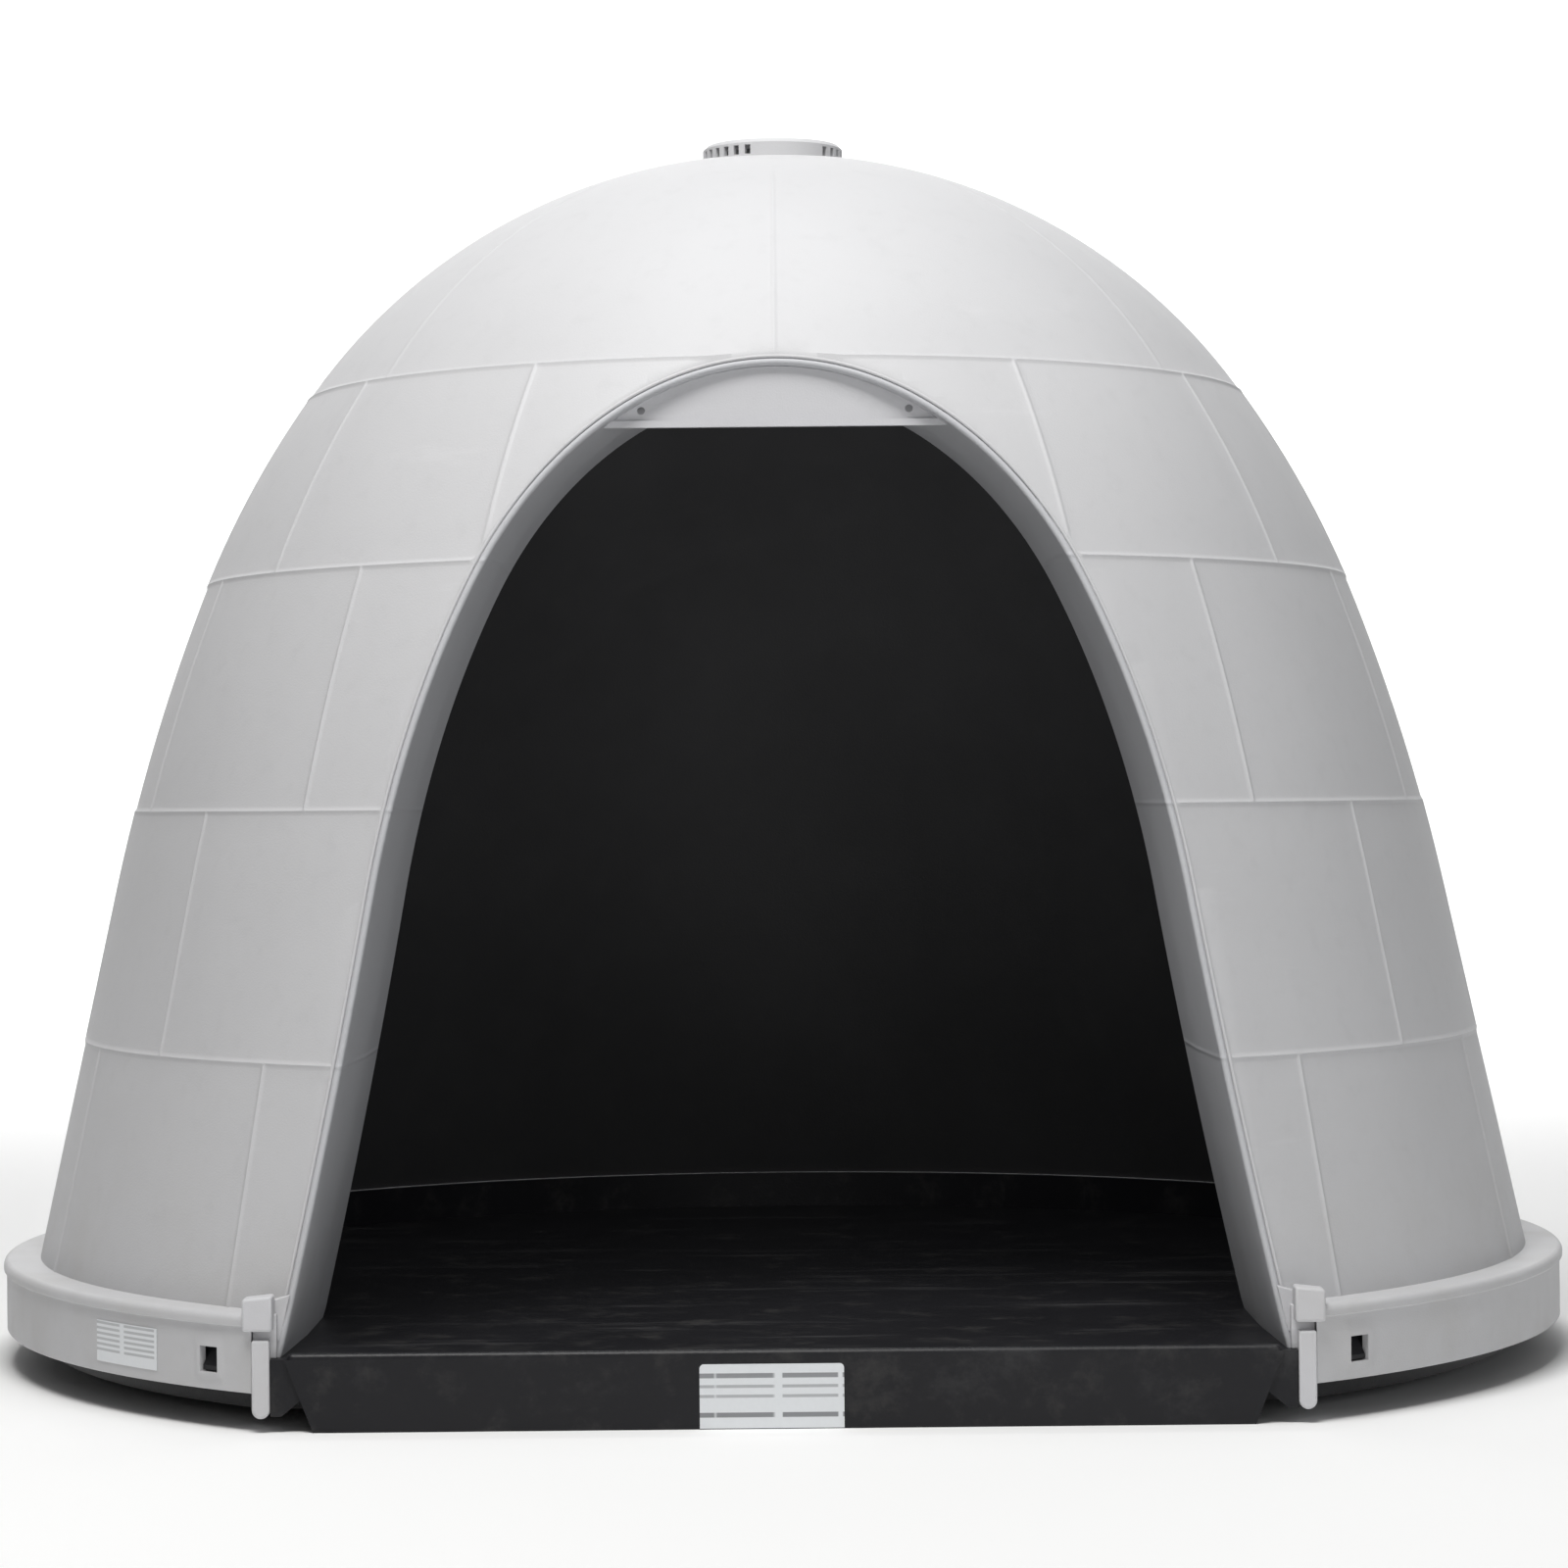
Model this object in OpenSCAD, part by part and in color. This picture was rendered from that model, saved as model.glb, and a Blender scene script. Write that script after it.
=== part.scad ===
// Domed animal shelter: a moulded dome with a deep arched doorway, clipped onto a
// raised floor tray, with a turning vent cap on the crown.
// Millimetres. +Z is up, -Y is the doorway side. The origin is on the dome's axis at
// ground level, in the middle of the tray's plinth.

/* [Dome] */
// Outside radius of the rim's lip, the widest part of the shelter
rim_r = 501.65; // [410:0.05:610]
// Height of the dome's curve at its axis, before the flat for the vent
crown_z = 770.3; // [640:0.1:930]
// Wall of the dome
dome_wall = 5; // [4:0.5:7]
// Lean of the straight lower wall from upright, degrees
leg_lean = 12.3; // [10:0.1:14]
// Radius of the haunch, the slow curve above the straight wall
haunch_r = 1240; // [1100:10:1400]
// Radius of the shoulder, between the haunch and the crown
shoulder_r = 594; // [520:1:680]
// Slope at which the haunch turns into the shoulder, degrees from upright
haunch_end = 21.3; // [19:0.1:24]
// Slope at which the shoulder turns into the crown, degrees from upright
shoulder_end = 36.3; // [33:0.1:40]
// Radius of the flat on the crown that the vent stands on
vent_flat_r = 78; // [60:1:90]

/* [Rim] */
// Height of the ledge's top above the ground
ledge_z = 66; // [60:1:80]
// Width of the ledge, from the dome's foot to the lip
ledge_w = 23; // [18:0.5:30]
// Height of the rim's lip
lip_h = 7; // [5:0.5:10]
// How far the lip stands out of the skirt
lip_step = 1.8; // [1:0.1:3]
// Radius of the lip's upper edge
lip_round = 4; // [2:0.5:6]
// Wall of the ledge and the skirt
rim_wall = 4; // [3:0.5:5]
// Height of the skirt's lower edge above the ground
skirt_z = 22; // [14:1:26]

/* [Doorway] */
// Width of the dome's opening at the ledge
door_w = 564.6; // [460:0.1:660]
// Height of the opening's crown above the ground
door_top = 614.3; // [510:0.1:680]
// How far the door's face bows forward in the middle of its height
door_bow = 6.2; // [4:0.1:10]
// Width of the edge between the dome and the doorway frame's inner face, at the crown
edge_w = 8.6; // [6:0.1:10]
// Width of that edge at the floor
edge_foot = 4.8; // [4.5:0.1:6]
// How late that edge widens on its way up to the crown
edge_power = 4; // [1:1:6]
// Wall of the doorway frame
frame_wall = 4; // [3:0.5:6]
// How far the frame's front bead stands out of the door's face
bead_out = 2; // [1:0.5:3]
// Depth of the doorway frame at the ledge
reveal_foot = 182; // [150:1:220]
// Depth of the doorway frame at its crown
reveal_top = 124; // [100:1:150]

/* [Corners] */
// Width of the fin that closes each end of the skirt
fin_w = 10; // [8:0.5:14]
// Height of the fin's lower end above the ground
fin_z = 8; // [5:0.5:12]
// Height of the fin's upper end above the ground
fin_top = 52; // [48:0.5:54]
// Width of the hook block that holds down the ledge
hook_w = 17; // [15:0.5:20]
// Height of the hook block above the ledge
hook_rise = 11; // [8:0.5:14]
// Depth of the hook block from front to back
hook_d = 16; // [12:0.5:20]

/* [Header] */
// Height of the header plate below the opening's crown
header_h = 44.3; // [36:0.1:50]
// How far the header plate's lower edge lies behind the door's face
header_set = 11; // [10:0.5:30]
// Thickness of the header plate
header_t = 3; // [2.5:0.5:4]
// Distance between the two flap screw holes
flap_pitch = 156.5; // [120:0.5:170]
// Radius of the flap screw holes
flap_hole_r = 2.3; // [1.5:0.1:3]
// Height of the flap screw holes above the header's lower edge
flap_hole_rise = 10; // [8:0.5:12]

/* [Tray] */
// Height of the tray's floor above the ground
floor_z = 41; // [38:1:46]
// Height of the double floor's underside above the ground
tray_base = 9; // [6:0.5:12]
// Wall of the tray
tray_wall = 4; // [3:0.5:5]
// Height of the up-stand above the floor
upstand_h = 25; // [24:1:30]
// Gap between the up-stand and the dome's wall
upstand_gap = 1.5; // [1:0.5:3]
// Gap between the tray's outer wall and the skirt
outer_gap = 3; // [2:0.5:4]
// Height of the outer wall's lower edge above the ground
outer_z = 24; // [23:0.5:26]
// How far the front panel tapers in on each side down to the ground
panel_taper = 16; // [8:1:24]
// How far the front panel stands out of the floor's front edge
panel_out = 2.5; // [1:0.5:4]
// How far the front panel's upper corners lie inside the floor's corners
panel_in = 8; // [4:1:12]
// How far the bevel under each front corner of the floor starts in from its side
corner_in = 6; // [4:1:10]
// Width of that bevel
corner_w = 17; // [12:1:24]
// Height of that bevel
corner_h = 14; // [10:1:18]
// Radius of the rounded bead along the floor's front edge
front_bead_r = 3.5; // [2:0.5:5]
// Radius of the round plinth under the floor
plinth_r = 300; // [240:5:340]

/* [Snap tabs] */
// Direction of the front windows from straight ahead, degrees
window_turn = 40.6; // [39:0.1:46]
// Width and height of each square window in the skirt
window_w = 14.5; // [12:0.5:18]
// Height of the windows' centre above the ground
window_z = 39; // [38:0.5:42]
// Width of each snap tab
tab_w = 12; // [10:0.5:14]
// Thickness of each snap tab
tab_t = 2.4; // [2:0.1:3]
// Radius of the tab's round root
tab_root_r = 1.6; // [1.4:0.1:2]
// Radial play of the root in its seat, a running fit
tab_root_fit = 0.08; // [0.02:0.01:0.1]
// Height of the tab below its root
tab_h = 27; // [24:0.5:29]
// Gap along the sides of the tab
tab_gap = 0.4; // [0.3:0.1:0.8]

/* [Vent] */
// Outside radius of the vent cap
cap_r = 45.5; // [40:0.5:50]
// Height of the vent cap
cap_h = 16; // [14:0.5:20]
// Wall of the vent cap
cap_wall = 3; // [2.5:0.5:4]
// Thickness of the vent cap's top
cap_top = 2.5; // [2:0.5:4]
// Slots in each of the cap's three groups
slot_count = 6; // [4:1:7]
// Angle between neighbouring slots, degrees
slot_pitch = 10.25; // [9:0.25:10.5]
// Width of each slot
slot_w = 3.9; // [3:0.1:4.5]
// Height of each slot
slot_h = 6; // [5:0.5:7]
// Direction of the first group's middle from straight ahead, degrees
slot_turn = -46.4; // [-60:0.1:60]
// Turn of the cap from open to closed, degrees
vent_turn = 60; // [56:1:62]
// Wall of the vent neck
neck_wall = 2.5; // [2:0.5:3.5]
// Gap between the neck's bead and the cap, a running fit
neck_fit = 0.06; // [0.02:0.01:0.1]
// Thickness of the ring that holds the vent neck under the dome
clip_t = 4; // [3:0.5:6]
// Width of that ring
clip_w = 12; // [8:1:16]

/* [Labels] */
// Thickness of the paper labels
label_t = 0.3; // [0.2:0.1:0.5]
// Width of the label on the front panel
tray_label_w = 81; // [60:1:90]
// Height of the label on the front panel
tray_label_h = 36; // [30:1:37]
// Sideways place of the front panel label's middle
tray_label_x = -7; // [-30:1:30]
// Direction of the skirt label's middle from straight ahead, degrees
skirt_label_turn = -49.65; // [-60:0.05:-48]
// Width of the skirt label, measured around the skirt
skirt_label_w = 65; // [50:1:70]
// Height of the skirt label
skirt_label_h = 24; // [18:1:26]

/* [Hidden] */

fit_gap = 0.3;      // gap between parts that are only laid together
hair = 0.05;        // gap behind a glued label
skin = 0.5;         // how far a cutting shape runs past the face it cuts
round_fn = 360;     // sides of large round shapes
small_fn = 64;      // sides of small round shapes

grey = [0.80, 0.80, 0.82];
pale_grey = [0.84, 0.84, 0.86];
black = [0.09, 0.09, 0.11];
white = [0.95, 0.95, 0.95];

// ---- The dome's curve: straight leg, haunch, shoulder and crown, all tangent ----
skirt_r = rim_r - lip_step;
foot_out_r = rim_r - ledge_w;

// The crown's radius is the one that brings the leg down to the dome's foot.
leg_tan = tan(leg_lean);
crown_share = cos(shoulder_end) + (sin(shoulder_end) - 1) * leg_tan;
chain_x = -shoulder_r * cos(shoulder_end)
    + (shoulder_r - haunch_r) * cos(haunch_end) + haunch_r * cos(leg_lean);
chain_z = crown_z - shoulder_r * sin(shoulder_end)
    + (shoulder_r - haunch_r) * sin(haunch_end) + haunch_r * sin(leg_lean);
crown_r = (foot_out_r - chain_x - (chain_z - ledge_z) * leg_tan) / crown_share;

crown_c = [0, crown_z - crown_r];
shoulder_c = crown_c + (crown_r - shoulder_r) * [cos(shoulder_end), sin(shoulder_end)];
haunch_c = shoulder_c + (shoulder_r - haunch_r) * [cos(haunch_end), sin(haunch_end)];
leg_top = haunch_c + haunch_r * [cos(leg_lean), sin(leg_lean)];
shoulder_top = crown_c + crown_r * [cos(shoulder_end), sin(shoulder_end)];
haunch_top = shoulder_c + shoulder_r * [cos(haunch_end), sin(haunch_end)];
vent_flat_z = crown_c[1] + sqrt(crown_r * crown_r - vent_flat_r * vent_flat_r);

// Points on an arc, from angle a to angle b
function arc(c, r, a, b, n) =
    [for (i = [0 : n]) c + r * [cos(a + (b - a) * i / n), sin(a + (b - a) * i / n)]];

// Radius of the dome's outside at a height
function dome_r(z) =
    z > shoulder_top[1] ? sqrt(max(0, crown_r * crown_r - pow(z - crown_c[1], 2)))
    : z > haunch_top[1] ? shoulder_c[0] + sqrt(shoulder_r * shoulder_r - pow(z - shoulder_c[1], 2))
    : z > leg_top[1] ? haunch_c[0] + sqrt(haunch_r * haunch_r - pow(z - haunch_c[1], 2))
    : leg_top[0] + (leg_top[1] - z) * leg_tan;

// The curve from the vent's flat down to a height, moved in by the wall
function dome_curve(inset, bottom) = let (
    flat_z = vent_flat_z - inset,
    flat_angle = asin((flat_z - crown_c[1]) / (crown_r - inset)),
    foot_r = leg_top[0] - inset / cos(leg_lean) + (leg_top[1] - bottom) * leg_tan)
    concat(
        arc(crown_c, crown_r - inset, flat_angle, shoulder_end, 12),
        arc(shoulder_c, shoulder_r - inset, shoulder_end, haunch_end, 5),
        arc(haunch_c, haunch_r - inset, haunch_end, leg_lean, 4),
        [[foot_r, bottom]]);

// ---- The door's face: a large cylinder across the dome, leaning back ----
door_foot_y = -sqrt(pow(dome_r(ledge_z), 2) - pow(door_w / 2, 2));
door_top_y = -dome_r(door_top);
face_chord = [door_top_y - door_foot_y, door_top - ledge_z];
face_len = norm(face_chord);
face_r = (face_len * face_len / 4 + door_bow * door_bow) / (2 * door_bow);
face_mid = [door_foot_y + door_top_y, ledge_z + door_top] / 2;
face_back = [face_chord[1], -face_chord[0]] / face_len;
face_c = face_mid + (face_r - door_bow) * face_back;
function face_y(z) = face_c[0] - sqrt(face_r * face_r - pow(z - face_c[1], 2));

// ---- The arch: where the door's face meets the dome, moved in by the edge ----
arch_steps = 36;
function arch_z(i) = floor_z + (door_top - floor_z) * sin(90 * i / arch_steps);
function section_x(z) = sqrt(max(0, pow(dome_r(z), 2) - pow(face_y(z), 2)));
function section(i) = [i >= arch_steps ? 0 : section_x(arch_z(i)), arch_z(i)];
function edge_at(z) = edge_foot
    + (edge_w - edge_foot) * pow((z - floor_z) / (door_top - floor_z), edge_power);
// Direction out of the opening at a point of the section
function section_out(i) = let (
    after = i >= arch_steps ? [-section(i - 1)[0], section(i - 1)[1]] : section(i + 1),
    before = i > 0 ? section(i - 1) : section(0),
    along = (after - before) / norm(after - before))
    [along[1], -along[0]];
function arch_point(i, out) = section(i) + (out - edge_at(arch_z(i))) * section_out(i);
// Right half of the arch, from the floor to the crown, held to the floor and the middle
function arch_half(out) = [for (i = [0 : arch_steps]) let (p = arch_point(i, out))
    [i == arch_steps ? 0 : p[0], i == 0 ? floor_z : p[1]]];
function arch_outline(out) = let (half = arch_half(out)) concat(
    half, [for (i = [arch_steps - 1 : -1 : 0]) [-half[i][0], half[i][1]]]);

arch_foot_x = section_x(floor_z) - edge_foot;
reveal_back_foot = door_foot_y + reveal_foot;
reveal_back_top = door_top_y + reveal_top;

// ---- Corners, rim and tray, which follow the arch and the dome ----
fin_x = arch_foot_x + frame_wall + 1.4;
fin_out_x = fin_x + fin_w;
front_y = -sqrt(rim_r * rim_r - fin_out_x * fin_out_x);
skirt_cut_x = fin_out_x + fit_gap;
foot_back_y = -sqrt(pow(foot_out_r, 2) - pow(fin_out_x, 2)) + dome_wall;
hook_x = fin_out_x + 5 - hook_w;
hook_y = front_y - 1.5;
hook_z = fin_top + 5;
slot_d = 8;

ledge_under = ledge_z - rim_wall;
skirt_in_r = skirt_r - rim_wall;
upstand_top = floor_z + upstand_h;
wall_in_r = dome_r(max(ledge_z, upstand_top)) - dome_wall / cos(leg_lean);
upstand_out_r = wall_in_r - upstand_gap;
upstand_in_r = upstand_out_r - tray_wall;
outer_r = skirt_in_r - outer_gap;
tongue_x = fin_x - fit_gap;
panel_x = tongue_x - panel_in;

header_z = door_top - header_h;
header_y = face_y(header_z) + header_set;

neck_bead_r = cap_r - cap_wall - neck_fit;
neck_r = neck_bead_r - 0.7;
neck_in_r = neck_r - neck_wall;
spigot_r = neck_in_r - 1;
spigot_in_r = spigot_r - neck_wall;
land_in_r = spigot_in_r - 1.5;
land_t = 3;
cap_inside_z = vent_flat_z + fit_gap + cap_h - cap_top;
cap_z = vent_flat_z + fit_gap;
port_turn = slot_count * slot_pitch + 2;
slot_mid_z = cap_z + 9;
peg_r = 1.5;
peg_at = (neck_in_r + land_in_r) / 2;
peg_span = vent_turn + 2 * asin((peg_r + 0.2) / peg_at);

// ---- Shared shapes ----
// Everything behind the door's face, moved forward by out
module behind_face(out = 0) {
    translate([0, face_c[0] - out, face_c[1]]) rotate([0, 90, 0])
        cylinder(h = 4 * rim_r, r = face_r, center = true, $fn = 1440);
}

// The arch outline as a bar from front to back
module arch_bar(out, y0, y1) {
    translate([0, y1, 0]) rotate([90, 0, 0]) linear_extrude(y1 - y0)
        polygon(arch_outline(out));
}

module mirrored() {
    children();
    mirror([1, 0, 0]) children();
}

// Puts a shape built on the -Y side at a direction from straight ahead
module at_turn(turn) {
    rotate([0, 0, turn]) children();
}

// ---- Dome ----
module dome_profile() {
    outer = dome_curve(0, ledge_z);
    inner = dome_curve(dome_wall, ledge_under);
    lip = arc([rim_r - lip_round, ledge_z - lip_round], lip_round, 90, 0, 6);
    polygon(concat(
        [[spigot_r + fit_gap, vent_flat_z]], outer, lip,
        [[rim_r, ledge_z - lip_h], [skirt_r, ledge_z - lip_h], [skirt_r, skirt_z],
         [skirt_in_r, skirt_z], [skirt_in_r, ledge_under]],
        [for (i = [len(inner) - 1 : -1 : 0]) inner[i]],
        [[spigot_r + fit_gap, vent_flat_z - dome_wall]]));
}

module window_cut(turn) {
    at_turn(turn) translate([-window_w / 2, -skirt_r - skin, window_z - window_w / 2])
        cube([window_w, rim_wall + 2 * skin, window_w]);
}

module hook_notch() {
    translate([hook_x - fit_gap, hook_y - skin, hook_z - fit_gap])
        cube([hook_w + 2 * fit_gap, hook_d + skin + fit_gap, ledge_z]);
}

module dome_shell() {
    color(grey) difference() {
        intersection() {
            rotate_extrude($fn = round_fn) dome_profile();
            union() {
                behind_face();
                // The rim runs on to the fins, past the door's face.
                translate([-2 * rim_r, -2 * rim_r, 0])
                    cube([4 * rim_r, 4 * rim_r, ledge_z]);
            }
        }
        arch_bar(frame_wall + fit_gap, -2 * rim_r, reveal_back_foot);
        translate([-skirt_cut_x, -2 * rim_r, -skin])
            cube([2 * skirt_cut_x, 2 * rim_r - reveal_foot, ledge_z + skin]);
        mirrored() hook_notch();
        for (turn = [window_turn, -window_turn, 180 - window_turn, window_turn - 180])
            window_cut(turn);
    }
}

// ---- Doorway frame ----
module fin() {
    // Rounded plate beside the tray, closing the skirt's end
    fin_d = foot_back_y - front_y;
    translate([fin_x, front_y, fin_z + fin_w / 2])
        cube([fin_w, fin_d, fin_top - fin_z - fin_w / 2]);
    translate([fin_x + fin_w / 2, foot_back_y, fin_z + fin_w / 2]) rotate([90, 0, 0])
        cylinder(h = fin_d, r = fin_w / 2, $fn = small_fn);
}

module corner_foot() {
    fin();
    // Web from the frame to the fin, under the dome's foot
    translate([arch_foot_x + frame_wall / 2, front_y + slot_d, floor_z])
        cube([fin_out_x - arch_foot_x - frame_wall / 2, foot_back_y - front_y - slot_d,
              ledge_z - fit_gap - floor_z]);
    // Hook block over the ledge
    translate([hook_x, hook_y, hook_z])
        cube([hook_w, hook_d, ledge_z + hook_rise - hook_z]);
}

module reveal_side() {
    // Side outline of the frame, ending at its leaning back edge
    slope = (reveal_back_top - reveal_back_foot) / (door_top - ledge_z);
    top = door_top + frame_wall;
    translate([-rim_r, 0, 0]) rotate([90, 0, 90]) linear_extrude(2 * rim_r)
        polygon([[-rim_r, floor_z],
                 [reveal_back_foot + (floor_z - ledge_z) * slope, floor_z],
                 [reveal_back_foot + (top - ledge_z) * slope, top],
                 [-rim_r, top]]);
}

module header_stop() {
    // Rib in the crown of the frame that the header plate lies against
    intersection() {
        difference() {
            arch_bar(1, header_y + header_t, header_y + header_t + 3);
            arch_bar(-4, header_y, header_y + header_t + 4);
        }
        translate([-rim_r, -rim_r, header_z + 2]) cube(2 * rim_r);
    }
}

module doorway_frame() {
    color(pale_grey) union() {
        intersection() {
            difference() {
                arch_bar(frame_wall, -rim_r, 0);
                arch_bar(0, -rim_r - 1, 1);
            }
            reveal_side();
            behind_face(bead_out);
        }
        header_stop();
        mirrored() corner_foot();
    }
}

// ---- Header plate ----
module door_header() {
    color(pale_grey) difference() {
        union() {
            intersection() {
                arch_bar(-fit_gap, header_y, header_y + header_t);
                translate([-rim_r, -rim_r, header_z]) cube(2 * rim_r);
            }
            // Stiffening bead along the lower edge
            intersection() {
                arch_bar(-fit_gap, header_y - 1.5, header_y);
                translate([-rim_r, -rim_r, header_z]) cube([2 * rim_r, 2 * rim_r, 4]);
            }
        }
        for (side = [-1, 1])
            translate([side * flap_pitch / 2, header_y - skin, header_z + flap_hole_rise])
                rotate([-90, 0, 0])
                    cylinder(h = header_t + 2 * skin, r = flap_hole_r, $fn = small_fn);
    }
}

// ---- Floor tray ----
// Plan of the floor: the disc inside the up-stand, with a tongue out to the front
module floor_plan(inset, side_inset) {
    half = tongue_x - side_inset;
    difference() {
        union() {
            circle(r = upstand_out_r - inset, $fn = round_fn);
            translate([-half, front_y]) square([2 * half, -front_y]);
        }
        // Straight front edge
        translate([-rim_r, -2 * rim_r])
            square([2 * rim_r, 2 * rim_r + front_y + panel_out + inset]);
        // Room for the fins
        for (side = [-1, 1])
            translate([side > 0 ? half : -half - rim_r, -rim_r])
                square([rim_r, rim_r + foot_back_y + fit_gap + inset]);
    }
}

module corner_bevel() {
    // Slanting cut under a front corner of the floor, beside the panel
    edge = tongue_x - corner_in;
    translate([0, foot_back_y, 0]) rotate([90, 0, 0]) linear_extrude(rim_r)
        polygon([[edge - corner_w, tray_base - skin], [edge, tray_base - skin],
                 [edge, tray_base], [edge - corner_w, tray_base + corner_h]]);
}

module ring(r_out, r_in, z0, z1) {
    translate([0, 0, z0]) difference() {
        cylinder(h = z1 - z0, r = r_out, $fn = round_fn);
        translate([0, 0, -skin]) cylinder(h = z1 - z0 + 2 * skin, r = r_in, $fn = round_fn);
    }
}

module doorway_gap(half_x) {
    translate([-half_x, -2 * rim_r, floor_z - 2 * ledge_z])
        cube([2 * half_x, 2 * rim_r - reveal_foot, 4 * ledge_z]);
}

module front_panel() {
    translate([0, front_y + tray_wall, 0]) rotate([90, 0, 0]) linear_extrude(tray_wall)
        polygon([[-panel_x + panel_taper, 0], [panel_x - panel_taper, 0],
                 [panel_x, floor_z], [-panel_x, floor_z]]);
}

module front_bead() {
    bead_half = panel_x - front_bead_r - 1;
    translate([0, front_y + front_bead_r, floor_z]) {
        rotate([0, 90, 0])
            cylinder(h = 2 * bead_half, r = front_bead_r, center = true, $fn = small_fn);
        for (side = [-1, 1]) translate([side * bead_half, 0, 0])
            sphere(r = front_bead_r, $fn = small_fn);
    }
}

// Where a snap tab's root turns, on the -Y side before it is turned into place
tab_root_y = -(outer_r - tab_root_r - 0.4);
tab_root_z = ledge_under - tray_wall - tab_root_r - 0.9;
tab_neck = 0.8;
seat_wrap = 0.9;

module tab_socket() {
    // Block under the rim that carries the round root of a snap tab
    translate([-tab_w / 2 - 3, -outer_r + 0.5, tab_root_z - seat_wrap])
        cube([tab_w + 6, 6, tab_root_r + seat_wrap + 1.5]);
}

module tab_cut() {
    slit = tab_w + 2 * tab_gap;
    // Slit for the tab in the outer wall, open at the bottom
    translate([-slit / 2, -outer_r - skin, outer_z - skin])
        cube([slit, tray_wall + 2, tab_root_z - seat_wrap - outer_z + skin]);
    // Round seat of the tab's root
    translate([0, tab_root_y, tab_root_z]) rotate([0, 90, 0])
        cylinder(h = slit, r = tab_root_r + tab_root_fit, center = true, $fn = small_fn);
}

module tab_turns() {
    for (turn = [window_turn, -window_turn, 180 - window_turn, window_turn - 180])
        at_turn(turn) children();
}

module floor_tray() {
    color(black) difference() {
        union() {
            // Double floor, bevelled under its front corners
            difference() {
                translate([0, 0, tray_base]) linear_extrude(floor_z - tray_base) floor_plan(0, 0);
                mirrored() corner_bevel();
            }
            // Up-stand, rim and outer wall
            difference() {
                union() {
                    ring(upstand_out_r, upstand_in_r, tray_base, upstand_top);
                    ring(outer_r, upstand_in_r, ledge_under - tray_wall, ledge_under);
                    ring(outer_r, outer_r - tray_wall, outer_z, ledge_under);
                    tab_turns() tab_socket();
                }
                doorway_gap(hook_x + hook_w + fit_gap);
            }
            front_panel();
            front_bead();
            cylinder(h = tray_base + 1, r = plinth_r, $fn = round_fn);
        }
        // Sealed space inside the double floor
        translate([0, 0, tray_base + tray_wall])
            linear_extrude(floor_z - tray_base - 2 * tray_wall)
                floor_plan(tray_wall, corner_in + corner_w + tray_wall);
        translate([0, 0, tray_wall])
            cylinder(h = floor_z - 2 * tray_wall, r = plinth_r - tray_wall, $fn = round_fn);
        tab_turns() tab_cut();
    }
}

// ---- Snap tabs ----
module snap_tab() {
    face = tab_root_y - tab_root_r;
    back = tab_root_y + tab_neck;
    tip = 1.2 - skirt_r;
    hook_top = window_z + window_w / 2 - 1;
    hook_low = window_z - window_w / 2 + 1;
    low = tab_root_z - tab_h;
    // Tongue that hangs from its root, with a ramped hook standing in the window
    rotate([90, 0, 90]) translate([0, 0, -tab_w / 2]) linear_extrude(tab_w)
        polygon([[back, tab_root_z], [back, tab_root_z - 2.2], [face + tab_t, tab_root_z - 3],
                 [face + tab_t, low], [face, low], [face, hook_low], [tip, hook_low],
                 [tip, hook_low + 2.5], [face, hook_top], [face, tab_root_z - 2.6],
                 [tab_root_y - tab_neck, tab_root_z - 1.8], [tab_root_y - tab_neck, tab_root_z]]);
    translate([0, tab_root_y, tab_root_z]) rotate([0, 90, 0])
        cylinder(h = tab_w, r = tab_root_r, center = true, $fn = small_fn);
}

module snap_tab_front_left() { color(black) at_turn(-window_turn) snap_tab(); }
module snap_tab_front_right() { color(black) at_turn(window_turn) snap_tab(); }
module snap_tab_rear_left() { color(black) at_turn(window_turn - 180) snap_tab(); }
module snap_tab_rear_right() { color(black) at_turn(180 - window_turn) snap_tab(); }

// ---- Vent ----
module vent_neck() {
    top = cap_inside_z - fit_gap;
    bottom = vent_flat_z - dome_wall - clip_t - 1;
    channel_w = 2 * peg_r + 0.6;
    color(grey) difference() {
        union() {
            // Spigot through the dome, flange on its flat, and the neck with its bead
            rotate_extrude($fn = round_fn) polygon([
                [spigot_in_r, bottom], [spigot_r, bottom], [spigot_r, vent_flat_z],
                [neck_r, vent_flat_z], [neck_r, top - 3], [neck_bead_r, top - 2.6],
                [neck_bead_r, top - 0.8], [neck_bead_r - 0.8, top], [neck_in_r, top],
                [neck_in_r, vent_flat_z + 2], [spigot_in_r, vent_flat_z + 1]]);
            // Land inside the neck, with the stop channel for the cap's peg
            ring(neck_in_r + 1, land_in_r, top - land_t, top);
        }
        for (i = [0 : 2]) rotate([0, 0, slot_turn + 120 * i]) neck_port();
        rotate([0, 0, -90 - asin((peg_r + 0.2) / peg_at)])
            translate([0, 0, top - land_t - skin])
                rotate_extrude(angle = peg_span, $fn = round_fn)
                    translate([peg_at - channel_w / 2, 0])
                        square([channel_w, land_t + 2 * skin]);
    }
}

module neck_port() {
    // A port as wide as one group of slots
    rotate([0, 0, -90 - port_turn / 2]) rotate_extrude(angle = port_turn, $fn = round_fn)
        translate([neck_in_r - skin, slot_mid_z - slot_h / 2]) square([neck_wall + 2, slot_h]);
}

module cap_slot(turn) {
    at_turn(turn) translate([-slot_w / 2, -cap_r - skin, slot_mid_z - slot_h / 2])
        cube([slot_w, cap_wall + 2 * skin, slot_h]);
}

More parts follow.
